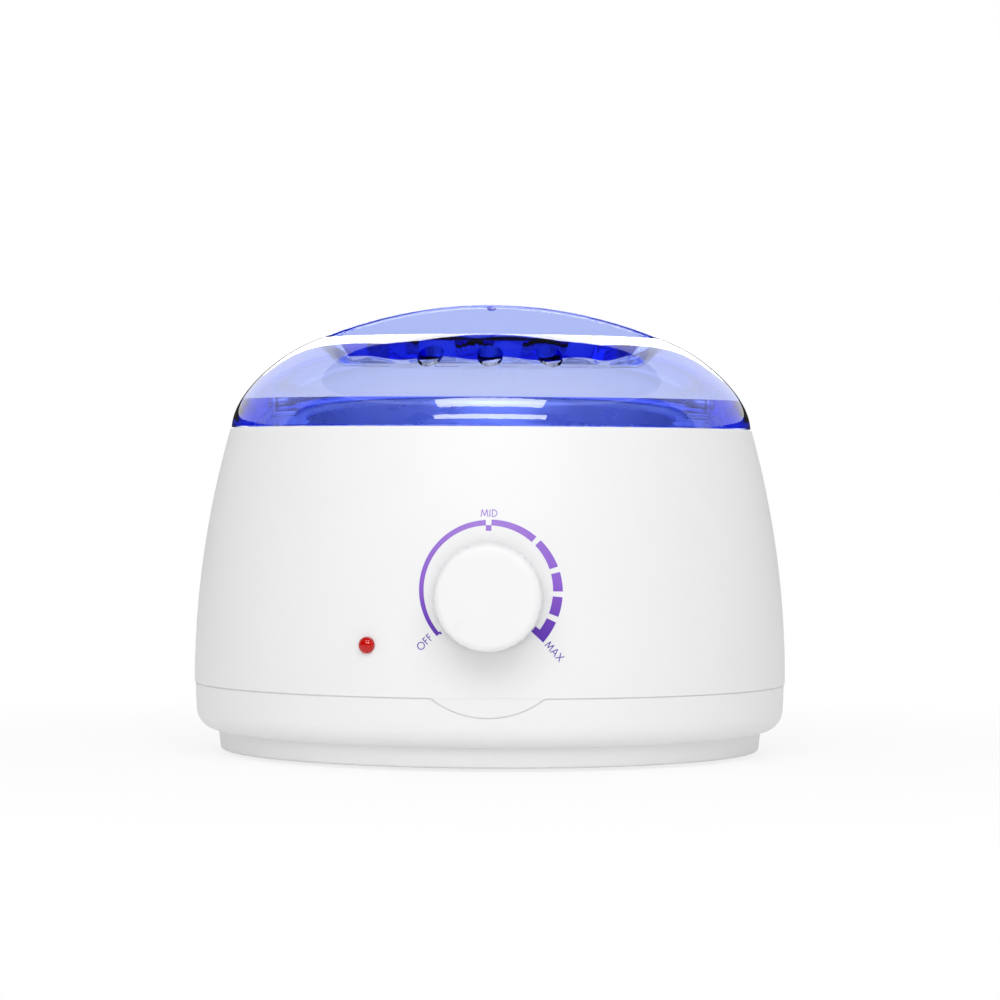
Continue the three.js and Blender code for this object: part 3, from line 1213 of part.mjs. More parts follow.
const tabLive = [-TAB_STEP, -THERMOSTAT_MID_Y, TAB_END_Z];
const tabHeat = [TAB_STEP, -THERMOSTAT_MID_Y, TAB_END_Z];
const tabLamp = [0, -THERMOSTAT_MID_Y, TAB_END_Z];
const poleLive = [0, BLOCK_FRONT_Y, LEAD_LOW_Z];
const poleHeat = [-POLE_STEP, BLOCK_FRONT_Y, LEAD_HIGH_Z];
const poleLamp = [-POLE_STEP, BLOCK_FRONT_Y, LEAD_LOW_Z];
const poleEarth = [POLE_STEP, BLOCK_FRONT_Y, LEAD_LOW_Z];
const fuseIn = [FUSE_X, -fuseEnd, FUSE_Z];
const fuseOut = [FUSE_X, fuseEnd, FUSE_Z];
const earthStud = [EARTH_STUD_X, EARTH_STUD_Y, WELL_UNDER_Z - EARTH_STUD_L - SEAT_GAP];
const [DOWN, BACK, FRONT, LEFT] = [[0, 0, -1], [0, 1, 0], [0, -1, 0], [-1, 0, 0]];
const lampBack = [Math.cos(rad(SIDE_DEG - LAMP_DEG)), Math.sin(rad(SIDE_DEG - LAMP_DEG)), 0];

// Places that the capillary passes, as [distance out from the well's wall, turn, height]
const CAPILLARY_ROUTE = [[4.5, -129.7, 73], [9.4, -129.1, 72.4], [14, -124.9, 68], [15.9, -117.2, 61]];

const ROUTES = [
  ['lead_live', BROWN_WIRE, LEAD_R, FAR_LEAD_POINTS, [
    poleLive, off(poleLive, FRONT), [-2, 24, 9], [-5, 0, 11], [-8, -48, 14],
    [-TAB_STEP, -70, 19], [-TAB_STEP, -THERMOSTAT_MID_Y, 26], off(tabLive, DOWN), tabLive,
  ]],
  ['lead_switched', BROWN_WIRE, LEAD_R, LONG_LEAD_POINTS, [
    tabHeat, off(tabHeat, DOWN), [TAB_STEP, -THERMOSTAT_MID_Y, 27], [11, -64, 20], [19, -40, 21],
    [FUSE_X, -20, 28], off(fuseIn, FRONT), fuseIn,
  ]],
  ['lead_heater', WHITE_WIRE, LEAD_R, MID_LEAD_POINTS, [
    fuseOut, off(fuseOut, BACK), [24, 36, 25], [26.5, 54, 26], off(tabA, DOWN), tabA,
  ]],
  ['lead_neutral', BLUE_WIRE, LEAD_R, MID_LEAD_POINTS, [
    poleHeat, off(poleHeat, FRONT), [-19, 34, 16], [-26, 46, 21], off(tabB, DOWN), tabB,
  ]],
  ['lead_earth', EARTH_WIRE, LEAD_R, SHORT_LEAD_POINTS, [
    poleEarth, off(poleEarth, FRONT), [9, 24, 9], [7, 13, 13], off(earthStud, DOWN), earthStud,
  ]],
  ['lead_lamp_switched', WHITE_WIRE, LAMP_LEAD_R, LONG_LEAD_POINTS, [
    lampA, off(lampA, lampBack), [-21, -67.5, 31], [-12, -68, 26],
    [-2, -73, 25], off(tabLamp, DOWN), tabLamp,
  ]],
  ['lead_lamp_neutral', BLUE_WIRE, LAMP_LEAD_R, FAR_LEAD_POINTS, [
    lampB, off(lampB, lampBack), [-33, -56, 22], [-28, -10, 8],
    [-16, 24, 7], off(poleLamp, FRONT), poleLamp,
  ]],
  ['capillary_tube', COPPER, CAPILLARY_R, LONG_LEAD_POINTS, [
    bulbFoot, [bulbFoot[0], bulbFoot[1], bulbFoot[2] - 2 * SEAT_GAP],
    ...CAPILLARY_ROUTE.map(([out, deg, z]) => polar(WELL_OUT_R + out, deg, z)),
    [-24, -THERMOSTAT_MID_Y, 56], off(thermostatSide, LEFT), thermostatSide,
  ]],
];
for (const [name, material, radius, steps, points] of ROUTES) {
  put(warmer, name, wire(through(points), radius, steps), material);
}

export default warmer;
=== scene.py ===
import json
import math

import bmesh
import bpy
from mathutils import Matrix, Vector


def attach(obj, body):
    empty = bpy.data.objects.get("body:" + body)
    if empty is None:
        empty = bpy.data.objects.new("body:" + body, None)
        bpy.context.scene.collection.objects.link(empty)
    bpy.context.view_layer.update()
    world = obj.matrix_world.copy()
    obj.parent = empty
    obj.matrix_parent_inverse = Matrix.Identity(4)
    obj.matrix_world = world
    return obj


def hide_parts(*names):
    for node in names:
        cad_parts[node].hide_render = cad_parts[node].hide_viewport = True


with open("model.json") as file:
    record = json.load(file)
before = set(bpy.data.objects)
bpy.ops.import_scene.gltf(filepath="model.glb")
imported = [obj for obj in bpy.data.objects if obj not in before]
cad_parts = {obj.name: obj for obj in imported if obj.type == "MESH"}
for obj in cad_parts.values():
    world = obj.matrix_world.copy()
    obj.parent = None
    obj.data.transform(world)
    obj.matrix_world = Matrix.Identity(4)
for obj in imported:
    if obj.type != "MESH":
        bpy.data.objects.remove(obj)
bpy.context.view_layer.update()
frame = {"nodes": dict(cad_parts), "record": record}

# Sizes are in millimetres up to the point where a mesh is made, which is in metres.
MM = 0.001
SIDES = 256
ROUND = 48
SHARP_DEG = 32

# Body
BASE_Z = 1.0
SEAM_Z = 21.9
BELLY_Z = 23.0
RIM_Z = 102.6
BODY_R = 94.0
SIDE_ARC_R = 292.0
WALL = 2.4
GAP = 0.3

# Base
PLINTH_H = 6.3
PLINTH_R = 86.3
PLINTH_DRAFT = 0.7
SHOULDER_R = 6.7
BASE_TOP_INSET = 0.3
SHOULDER_INSET = 0.7
FLOOR_Z = 3.6
SPIGOT_R = 91.3
SPIGOT_WALL = 2.0
SPIGOT_TOP_Z = 25.9
TONGUE_DROP = 5.3
TONGUE_ARC_R = 27.4
SLOTS = 12
SLOT_W = 3.0
SLOT_IN_R = 28.0
SLOT_OUT_R = 46.0
FOOT_PLACE_R = 68.0
FOOT_R = 6.0
FOOT_H = 2.5
SCREW_PLACE_R = 80.5
SCREW_DEGS = (22, 158, 202, -22)
SCREW_HEAD_R = 3.3
SCREW_HEAD_Z = 5.0
SCREW_SHANK_R = 1.8
BOSS_R = 5.0
BOSS_LOW_Z = 2.4
BOSS_TOP_Z = 10.5
POST_R = 4.0
POST_LOW_Z = 10.8
POST_TOP_Z = 41
POST_RIB_LOW_Z = 26.2
BRACKET_POST_X = 24
BRACKET_POST_R = 3.5
BRACKET_POST_IN_Y = 83.1
BRACKET_POST_OUT_Y = 87.6
SHAFT_HOLE_R = 4.0
GLAND_HOLE_R = 5.7
LAMP_HOLE_R = 2.45

# Opening, well and pot
OPENING_R = 78.2
LEDGE_Z = 98.2
LEDGE_T = 2.4
LEDGE_IN_R = 65.5
WELL_FLANGE_Z = 99.0
WELL_TOP_Z = 100.2
WELL_R = 61.2
WELL_OUT_R = 62.8
WELL_UNDER_Z = 34.0
WELL_FLOOR_Z = 35.6
STUD_PLACE_R = 70.5
STUD_R = 1.5
EARTH_STUD_R = 2.0
POT_LOW_Z = 36.1
POT_FLANGE_Z = 100.5
POT_TOP_Z = 101.7
POT_R = 60.2
POT_LOW_R = 58.8
POT_FLANGE_R = 72.0
POT_WALL = 1.2
EAR_OUT_R = 70.5
BAIL_Z = 105.0
BAIL_R = 64.0
BAIL_BEND_R = 4.0
BAIL_WIRE_R = 1.5
BAIL_END_X = 72.7
BAIL_TILT = -math.asin(BAIL_WIRE_R / BAIL_R)

# Lid
LID_EDGE_Z = 102.9
LID_TOP_Z = 142.3
LID_ARC_R = 140.5
LID_EDGE_R = 82.7
LID_WALL = 1.1
LID_TOP_SHARE = 0.6
SHOULDER_IN_R = 60.0
TOP_PULL = 8.9
EDGE_PULL = 11.1
EDGE_LEAN = math.radians(3.3)
LIP_R = 77.7
LIP_IN_R = 75.5
LIP_LOW_Z = 101.2
RECESS_R = 55.5
RECESS_Z = 123.0
FIN_W = 8.5
FIN_WALL = 1.6
VENT_R = 3.9
VENT_PLACE_R = 67.0
VENT_STEP = 15.5
LAND_LOW_X = 43.0
LAND_HIGH_X = 56.0
LAND_WAVE = 0.5
FOOT_LEAN = math.radians(5.0)
FLOOR_RISE = 0.02
DISH_IN = 8.0
FOOT_TOP_Z = 111.2
FIN_EDGE = 1.4
GATE_R = 1.9
GATE_DEPTH = 1.25
RECESS_FOOT_R = 6.0
RECESS_MOUTH_R = 1.6
RECESS_DRAFT = 1.4
LAND_DROP = 0.3
LAND_END_SHARE = 0.2
LAND_END_RISE = 1.2
LIP_ROUND = 0.4

# Knob, dial and lamp
KNOB_Z = 52.3
KNOB_BACK_Y = 94.27
KNOB_R = 16.3
KNOB_DEPTH = 16.0
KNOB_EDGE = 2.2
KNOB_DRAFT = 0.7
KNOB_FACE_R = 11.0
KNOB_INSIDE_R = 13.8
HUB_R = 6
SHAFT_R = 3.3
SHAFT_FLAT_X = 2.3
FLUTES = 36
FLUTE_DEPTH = 0.28
POINTER_DEG = 132
DIAL_Z = 54.1
DIAL_R = 19.1
LETTER_H = 2.2
INK_SUNK = 0.02
INK_PROUD = 0.045
INK_LOW_Z = 38.5
INK_HIGH_Z = 76.5
LAMP_Z = 37.5
LAMP_DEG = -112.5
LAMP_R = 2.5
LAMP_DOME_H = 2.1
LAMP_FLANGE = 0.35
LAMP_STEM_R = 2.15
GLAND_Z = 34.0
GLAND_R = 7.6
GLAND_BORE_R = 3.9
GLAND_FLANGE = 2.0


def side_radius(z):
    """Radius of the body's outside at a height."""
    return BODY_R - SIDE_ARC_R + math.sqrt(SIDE_ARC_R ** 2 - (z - BELLY_Z) ** 2)


def dome_height(r):
    """Height of the lid's dome at a radius."""
    return LID_TOP_Z - LID_ARC_R + math.sqrt(LID_ARC_R ** 2 - r ** 2)


def polar(radius, deg, z):
    turn = math.radians(deg)
    return (radius * math.cos(turn), radius * math.sin(turn), z)


# ------------------------ mesh tools

def rounded(corners, steps=6):
    """An outline of (a, b) points in which corners given as (a, b, radius) become arcs."""
    points = []
    count = len(corners)
    for i, corner in enumerate(corners):
        if len(corner) == 2 or i in (0, count - 1):
            points.append(tuple(corner[:2]))
            continue
        here = Vector(corner[:2])
        before = Vector(corners[i - 1][:2]) - here
        after = Vector(corners[(i + 1) % count][:2]) - here
        half = before.angle(after) / 2
        reach = min(corner[2] / math.tan(half), 0.49 * before.length, 0.49 * after.length)
        radius = reach * math.tan(half)
        start = here + before.normalized() * reach
        end = here + after.normalized() * reach
        middle = here + (before.normalized() + after.normalized()).normalized() * (radius / math.sin(half))
        first = start - middle
        sweep = first.angle_signed(end - middle)
        for step in range(steps + 1):
            turn = -sweep * step / steps
            c, s = math.cos(turn), math.sin(turn)
            points.append((middle.x + first.x * c - first.y * s, middle.y + first.x * s + first.y * c))
    return points


def new_object(name, data):
    piece = bpy.data.objects.new(name, data)
    bpy.context.scene.collection.objects.link(piece)
    return piece


def from_faces(name, places, faces, merge=True):
    """An object from places in millimetres, its faces turned outwards."""
    mesh = bpy.data.meshes.new(name)
    mesh.from_pydata([tuple(v * MM for v in p) for p in places], [], faces)
    work = bmesh.new()
    work.from_mesh(mesh)
    if merge:
        bmesh.ops.remove_doubles(work, verts=work.verts, dist=1e-7)
    bmesh.ops.recalc_face_normals(work, faces=work.faces)
    work.to_mesh(mesh)
    work.free()
    return new_object(name, mesh)


def turned(name, outline, sides=SIDES, closed=False):
    """A solid turned about Z from (radius, height) points, from axis to axis or closed on itself."""
    places, rings = [], []
    for r, z in outline:
        if r < 1e-6:
            rings.append([len(places)])
            places.append((0, 0, z))
        else:
            rings.append(range(len(places), len(places) + sides))
            for i in range(sides):
                turn = 2 * math.pi * i / sides
                places.append((r * math.cos(turn), r * math.sin(turn), z))
    pairs = list(zip(rings, rings[1:]))
    if closed:
        pairs.append((rings[-1], rings[0]))
    faces = []
    for low, high in pairs:
        for i in range(sides):
            j = (i + 1) % sides
            if len(low) == 1 and len(high) == 1:
                break
            if len(low) == 1:
                faces.append((low[0], high[j], high[i]))
            elif len(high) == 1:
                faces.append((low[i], low[j], high[0]))
            else:
                faces.append((low[i], low[j], high[j], high[i]))
    return from_faces(name, places, faces)


def bar(start, end, radius, sides=ROUND):
    """A round bar between two points."""
    start, end = Vector(start), Vector(end)
    along = end - start
    piece = turned("bar", [(0, 0), (radius, 0), (radius, along.length), (0, along.length)], sides)
    turn = along.to_track_quat("Z", "Y").to_matrix().to_4x4()
    piece.data.transform(Matrix.Translation(start * MM) @ turn)
    return piece


def upright(place_r, deg, low, high, radius):
    """A round bar that stands beside the axis."""
    return bar(polar(place_r, deg, low), polar(place_r, deg, high), radius)


def block(low, high, deg=0.0):
    """A box between two corners, turned about Z."""
    places = [(x, y, z) for x in (low[0], high[0]) for y in (low[1], high[1]) for z in (low[2], high[2])]
    faces = [(0, 1, 3, 2), (4, 6, 7, 5), (0, 4, 5, 1), (2, 3, 7, 6), (0, 2, 6, 4), (1, 5, 7, 3)]
    piece = from_faces("block", places, faces)
    piece.data.transform(Matrix.Rotation(math.radians(deg), 4, "Z"))
    return piece


def prism(outline, low, high):
    """An outline in X and Y raised along Z."""
    count = len(outline)
    places = [(x, y, low) for x, y in outline] + [(x, y, high) for x, y in outline]
    faces = [tuple(range(count)), tuple(range(count, 2 * count))]
    for i in range(count):
        j = (i + 1) % count
        faces.append((i, j, count + j, count + i))
    return from_faces("prism", places, faces)


def settle(piece):
    """Puts the result of a piece's modifiers into its mesh."""
    shape = piece.evaluated_get(bpy.context.evaluated_depsgraph_get())
    mesh = bpy.data.meshes.new_from_object(shape)
    piece.modifiers.clear()
    old = piece.data
    piece.data = mesh
    bpy.data.meshes.remove(old)


def bevel(piece, width, segments, deg):
    """Rounds the edges that turn by more than an angle."""
    edge = piece.modifiers.new("edge", "BEVEL")
    edge.width = width * MM
    edge.segments = segments
    edge.limit_method = "ANGLE"
    edge.angle_limit = math.radians(deg)
    settle(piece)


def combine(piece, others, operation="DIFFERENCE"):
    """Cuts the others from a piece, or joins or intersects them with it, and removes them."""
    for other in others:
        step = piece.modifiers.new("combine", "BOOLEAN")
        step.operation = operation
        step.solver = "MANIFOLD"
        step.object = other
    settle(piece)
    for other in others:
        bpy.data.objects.remove(other)
    return piece


def smooth(mesh, deg=SHARP_DEG):
    """Shades a mesh smooth but for the edges that turn by more than an angle."""
    mesh.shade_smooth()
    mesh.set_sharp_from_angle(angle=math.radians(deg))


def finish_piece(piece, name, body, slot, *replaced, look=None, deg=SHARP_DEG):
    """Shades and names a piece, gives it its look and says what it rides on and stands for."""
    if deg:
        smooth(piece.data, deg)
    piece.name = piece.data.name = name
    piece.data.materials.clear()
    piece.data.materials.append(look or LOOKS[slot])
    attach(piece, body)
    if replaced:
        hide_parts(*replaced)


# ------------------------ materials

class Look:
    """A node material around one shader, in the coordinates of the piece, with the steps that vary it."""

    def __init__(self, name, **settings):
        self.name = name
        self.material = bpy.data.materials.new(name)
        self.material.use_nodes = True
        self.tree = self.material.node_tree
        self.shader = self.tree.nodes["Principled BSDF"]
        self.place = self.node("ShaderNodeTexCoord").outputs["Object"]
        self.normal = None
        for key, value in settings.items():
            self.shader.inputs[key.replace("_", " ").title().replace("Ior", "IOR")].default_value = value

    def node(self, kind, **settings):
        made = self.tree.nodes.new(kind)
        for key, value in settings.items():
            setattr(made, key, value)
        return made

    def link(self, output, socket):
        self.tree.links.new(output, socket)

    def noise(self, scale, detail, stretch=None, rough=0.55):
        """A noise value; scale is in features per metre, stretch a scale along each axis."""
        texture = self.node("ShaderNodeTexNoise")
        texture.inputs["Scale"].default_value = scale
        texture.inputs["Detail"].default_value = detail
        texture.inputs["Roughness"].default_value = rough
        place = self.place
        if stretch:
            mapping = self.node("ShaderNodeMapping")
            mapping.inputs["Scale"].default_value = stretch
            self.link(place, mapping.inputs["Vector"])
            place = mapping.outputs["Vector"]
        self.link(place, texture.inputs["Vector"])
        return texture.outputs["Fac"]

    def turning(self, pitch):
        """A value that changes with height and distance from Z; pitch in lines per metre."""
        flat = self.node("ShaderNodeVectorMath", operation="MULTIPLY")
        flat.inputs[1].default_value = (1, 1, 0)
        self.link(self.place, flat.inputs[0])
        length = self.node("ShaderNodeVectorMath", operation="LENGTH")
        self.link(flat.outputs["Vector"], length.inputs[0])
        total = self.node("ShaderNodeMath", operation="ADD")
        self.link(length.outputs["Value"], total.inputs[0])
        self.link(self.along("Z"), total.inputs[1])
        texture = self.node("ShaderNodeTexNoise", noise_dimensions="1D")
        texture.inputs["Scale"].default_value = pitch
        texture.inputs["Detail"].default_value = 4.0
        self.link(total.outputs["Value"], texture.inputs["W"])
        return texture.outputs["Fac"]

    def cells(self, scale):
        texture = self.node("ShaderNodeTexVoronoi")
        texture.inputs["Scale"].default_value = scale
        self.link(self.place, texture.inputs["Vector"])
        return texture.outputs["Distance"]

    def spread(self, value, low, high, start, end, shape="LINEAR"):
        """A value brought from start and end to low and high."""
        step = self.node("ShaderNodeMapRange", interpolation_type=shape)
        step.inputs["From Min"].default_value = start
        step.inputs["From Max"].default_value = end
        step.inputs["To Min"].default_value = low
        step.inputs["To Max"].default_value = high
        self.link(value, step.inputs["Value"])
        return step.outputs["Result"]

    def roughness(self, value, low, high, start=0.3, end=0.7):
        self.link(self.spread(value, low, high, start, end), self.shader.inputs["Roughness"])

    def colour(self, value, stops, start=0.3, end=0.7):
        """Colours along a value, stops being (place, colour)."""
        ramp = self.node("ShaderNodeValToRGB")
        marks = ramp.color_ramp.elements
        marks[0].position, marks[0].color = stops[0][0], (*stops[0][1], 1)
        marks[1].position, marks[1].color = stops[-1][0], (*stops[-1][1], 1)
        for place, colour in stops[1:-1]:
            mark = marks.new(place)
            mark.color = (*colour, 1)
        self.link(self.spread(value, 0, 1, start, end), ramp.inputs["Fac"])
        self.link(ramp.outputs["Color"], self.shader.inputs["Base Color"])

    def tones(self, value, dark, light, start=0.3, end=0.7):
        self.colour(value, [(0.0, dark), (1.0, light)], start, end)

    def bump(self, value, depth):
        """Raises the surface by a value; depth in millimetres."""
        step = self.node("ShaderNodeBump")
        step.inputs["Distance"].default_value = depth * MM
        step.inputs["Strength"].default_value = 1.0
        self.link(value, step.inputs["Height"])
        if self.normal:
            self.link(self.normal, step.inputs["Normal"])
        self.normal = step.outputs["Normal"]
        self.link(self.normal, self.shader.inputs["Normal"])

    def along(self, axis):
        """The place along one axis, in metres."""
        parts = self.node("ShaderNodeSeparateXYZ")
        self.link(self.place, parts.inputs["Vector"])
        return parts.outputs[axis]


LINE_DEPTH = 0.004  # of the lines in metal


def plastic(name, dark, light, rough, grain=0.010, grain_scale=1500.0, wave=0.03, **settings):
    """Moulded plastic: slow shifts of tone, a fine moulded grain and an uneven gloss."""
    look = Look(name, **settings)
    look.tones(look.noise(22.0, 2.0), dark, light, 0.25, 0.75)
    look.roughness(look.noise(140.0, 4.0), *rough)
    look.bump(look.noise(grain_scale, 2.0), grain)
    look.bump(look.noise(60.0, 1.0), wave)
    return look


def metal(name, dark, light, rough, pitch=None):
    """Bare metal: turned or drawn lines, faint blotches and small scratches."""
    look = Look(name, Metallic=1.0)
    look.tones(look.noise(18.0, 2.0), dark, light, 0.2, 0.8)
    look.roughness(look.noise(60.0, 3.0, stretch=(1, 1, 8)), *rough)
    if pitch:
        look.bump(look.turning(pitch), LINE_DEPTH)
    look.bump(look.noise(900.0, 4.0, stretch=(1, 1, 0.15)), LINE_DEPTH)
    return look


def rubber(name, dark, light):
    """Matt rubber with a dusty bloom and a fine pitted skin."""
    look = Look(name)
    look.tones(look.noise(180.0, 5.0), dark, light)
    look.roughness(look.noise(300.0, 4.0), 0.62, 0.82)
    look.bump(look.noise(2600.0, 3.0), 0.02)
    look.bump(look.cells(1800.0), 0.01)
    return look


def clear_blue():
    """Clear plastic that is blue all through."""
    look = Look(
        "clear_blue", IOR=1.52, Base_Color=(1, 1, 1, 1), Transmission_Weight=1.0, Specular_Ior_Level=0.25,
    )
    look.roughness(look.noise(160.0, 4.0), 0.0, 0.02, 0.5, 0.8)
    look.bump(look.noise(28.0, 1.0), 0.02)
    inside = look.node("ShaderNodeVolumeAbsorption")
    inside.inputs["Color"].default_value = (0.047, 0.247, 0.953, 1)
    inside.inputs["Density"].default_value = 255.0
    look.link(inside.outputs["Volume"], look.tree.nodes["Material Output"].inputs["Volume"])
    return look


def red_lens():
    look = Look(
        "red_lens", Subsurface_Weight=0.35, Subsurface_Radius=(1.0, 0.1, 0.1), Subsurface_Scale=0.0015,
        Specular_Ior_Level=0.2, Coat_Weight=0.5, Coat_Roughness=0.02,
    )
    look.tones(look.noise(900.0, 2.0), (0.48, 0.003, 0.002), (0.62, 0.005, 0.003))
    look.roughness(look.noise(600.0, 3.0), 0.04, 0.12)
    look.bump(look.noise(700.0, 2.0), 0.01)
    return look


def dial_ink():
    """The print's ink, its colour deep at the bottom, where the dial's two ends are, and lighter towards the
    top.
    """
    look = Look("dial_ink")
    look.colour(look.along("Z"), [
        (0.0, (0.085, 0.008, 0.42)), (0.16, (0.13, 0.02, 0.50)),
        (0.45, (0.25, 0.085, 0.62)), (1.0, (0.31, 0.135, 0.66)),
    ], INK_LOW_Z * MM, INK_HIGH_Z * MM)
    look.roughness(look.noise(900.0, 3.0), 0.36, 0.5)
    look.bump(look.noise(5000.0, 2.0), 0.004)
    return look


def earth_wire():
    """Green sleeve with yellow bands along it."""
    look = Look("earth_wire")
    look.colour(look.noise(90.0, 0.0, stretch=(1, 0.2, 1)), [
        (0.0, (0.06, 0.30, 0.03)), (0.49, (0.07, 0.33, 0.035)),
        (0.51, (0.72, 0.62, 0.02)), (1.0, (0.78, 0.68, 0.03)),
    ])
    look.roughness(look.noise(400.0, 3.0), 0.38, 0.5)
    look.bump(look.noise(1500.0, 2.0), 0.01)
    return look


def glass_wool():
    """Pressed fibre mat: crossed fibres and soft tufts."""
    look = Look("glass_wool")
    fibres = look.noise(900.0, 6.0, stretch=(0.2, 0.2, 2.5), rough=0.7)
    look.tones(fibres, (0.62, 0.57, 0.44), (0.84, 0.80, 0.70))
    look.roughness(look.noise(500.0, 3.0), 0.85, 1.0)
    look.bump(fibres, 0.35)
    look.bump(look.noise(120.0, 3.0), 0.6)
    return look


def ceramic():
    look = Look("ceramic")
    look.tones(look.noise(300.0, 4.0), (0.66, 0.63, 0.57), (0.80, 0.78, 0.73))
    look.roughness(look.noise(700.0, 3.0), 0.5, 0.72)
    look.bump(look.noise(2200.0, 4.0), 0.03)
    return look


def neon_glass():
    look = Look("neon_glass", Transmission_Weight=0.9)
    look.tones(look.noise(400.0, 2.0), (0.95, 0.70, 0.52), (1.0, 0.84, 0.72))
    look.roughness(look.noise(500.0, 3.0), 0.02, 0.08)
    look.bump(look.noise(300.0, 2.0), 0.03)
    return look


LOOKS = {look.name: look.material for look in (
    plastic("white_plastic", (0.885, 0.885, 0.892), (0.895, 0.895, 0.900), (0.48, 0.54), grain=0.0012,
            grain_scale=800.0, wave=0.0015, Specular_Ior_Level=0.22),
    clear_blue(),
    red_lens(),
    metal("aluminium", (0.62, 0.63, 0.64), (0.74, 0.75, 0.76), (0.22, 0.38), pitch=2600.0),
    metal("steel", (0.46, 0.46, 0.47), (0.62, 0.62, 0.63), (0.18, 0.34)),
    metal("zinc", (0.50, 0.53, 0.58), (0.68, 0.68, 0.64), (0.28, 0.45)),
    metal("copper", (0.55, 0.25, 0.14), (0.72, 0.38, 0.24), (0.25, 0.42)),
    metal("band_steel", (0.33, 0.30, 0.27), (0.50, 0.47, 0.43), (0.34, 0.55)),
    rubber("black_rubber", (0.012, 0.012, 0.012), (0.028, 0.028, 0.03)),
    rubber("foot_rubber", (0.36, 0.36, 0.35), (0.48, 0.48, 0.47)),
    rubber("silicone", (0.38, 0.075, 0.04), (0.50, 0.11, 0.06)),
    plastic("black_plastic", (0.010, 0.010, 0.011), (0.022, 0.022, 0.024), (0.4, 0.55)),
    plastic("bakelite", (0.035, 0.022, 0.015), (0.065, 0.042, 0.03), (0.35, 0.5)),
    plastic("block_plastic", (0.60, 0.58, 0.52), (0.70, 0.68, 0.62), (0.42, 0.55)),
    plastic("brown_wire", (0.11, 0.045, 0.02), (0.15, 0.065, 0.03), (0.38, 0.5)),
    plastic("blue_wire", (0.02, 0.08, 0.40), (0.03, 0.11, 0.50), (0.38, 0.5)),
    plastic("white_wire", (0.66, 0.66, 0.62), (0.76, 0.76, 0.72), (0.38, 0.5)),
    earth_wire(),
    glass_wool(),
    ceramic(),
    neon_glass(),
)}

# Every carried-over node takes the look of its slot in the record
for part in frame["record"]["subparts"]:
    mesh = frame["nodes"][part["node"]].data
    mesh.materials.clear()
    mesh.materials.append(LOOKS[part["material_slot"]])
    smooth(mesh)


# ------------------------ camera, light and stage

CAMERA_TURN = math.radians(0.37)
CAMERA_ROLL = 0.005
CAMERA_AWAY = 1.17
CAMERA_UP = 0.0887
camera = new_object("camera", bpy.data.cameras.new("camera"))
camera.data.lens = 131.8
camera.data.sensor_width = 36.0
camera.data.shift_x = 0.00915
camera.data.shift_y = -0.0272
camera.data.clip_start = 0.05
camera.location = (CAMERA_AWAY * math.sin(CAMERA_TURN), -CAMERA_AWAY * math.cos(CAMERA_TURN), CAMERA_UP)
camera.rotation_euler = (
    Matrix.Rotation(CAMERA_TURN, 3, "Z")
    @ Matrix.Rotation(math.pi / 2, 3, "X") @ Matrix.Rotation(CAMERA_ROLL, 3, "Z")
).to_euler()
bpy.context.scene.camera = camera
bpy.context.scene.view_settings.view_transform = "Standard"


def softbox(name, azimuth, height_deg, distance, width, length, power, aim=(0, 0, 0.07), shine=False):
    """A soft rectangular lamp that looks at the object; azimuth 0 is in front, 90 on the right.

    A shine lamp is seen only as a reflection, and any other lamp lights only matt surfaces.
    """
    lamp = bpy.data.lights.new(name, "AREA")
    lamp.shape = "RECTANGLE"
    lamp.size = width
    lamp.size_y = length
    lamp.energy = power
    holder = new_object(name, lamp)
    turn, lift = math.radians(azimuth), math.radians(height_deg)
    away = Vector((math.sin(turn) * math.cos(lift), -math.cos(turn) * math.cos(lift), math.sin(lift)))
    holder.location = Vector(aim) + away * distance
    holder.rotation_euler = away.to_track_quat("Z", "Y").to_euler()
    holder.visible_camera = False
    holder.visible_transmission = False
    holder.visible_diffuse = not shine
    holder.visible_glossy = shine


softbox("front_softbox", 0, 31, 1.4, 1.3, 0.8, 7.2)
softbox("top_softbox", 0, 84, 1.2, 1.5, 1.3, 2.8)
softbox("upper_shine", 0, 52, 1.3, 0.89, 0.30, 9.5, shine=True)
softbox("lower_shine", 0, 27, 1.3, 1.07, 0.21, 9.0, shine=True)
softbox("rear_shine", 180, 27.7, 1.5, 0.80, 1.0, 13.0, aim=(0, 0, 0.125), shine=True)


def white_for_views(tree):
    """A value that is 1 for what the camera, a mirror or glass sees, and 0 for light on a matt surface."""
    path = tree.nodes.new("ShaderNodeLightPath")
    seen = path.outputs["Is Camera Ray"]
    for other in ("Is Glossy Ray", "Is Transmission Ray"):
        step = tree.nodes.new("ShaderNodeMath")
        step.operation = "MAXIMUM"
        tree.links.new(seen, step.inputs[0])
        tree.links.new(path.outputs[other], step.inputs[1])
        seen = step.outputs["Value"]
    return seen


WORLD_LIGHT = 0.585
FLOOR_R = 4.0
FADE_FROM = 0.08
FADE_TO = 0.32
GLOW_NEAR = 0.80
DARK_LOW_Z = 20
CEILING_R = 1450
CEILING_Z = 1600
CEILING_BACK = 150


def studio():
    """White surroundings that light the object at about three fifths of their strength."""
    world = bpy.data.worlds.new("studio")
    bpy.context.scene.world = world
    world.use_nodes = True
    tree = world.node_tree
    strength = tree.nodes.new("ShaderNodeMapRange")
    strength.inputs["To Min"].default_value = WORLD_LIGHT
    strength.inputs["To Max"].default_value = 1.0
    tree.links.new(white_for_views(tree), strength.inputs["Value"])
    backdrop = tree.nodes["Background"]
    backdrop.inputs["Color"].default_value = (1, 1, 1, 1)
    tree.links.new(strength.outputs["Result"], backdrop.inputs["Strength"])


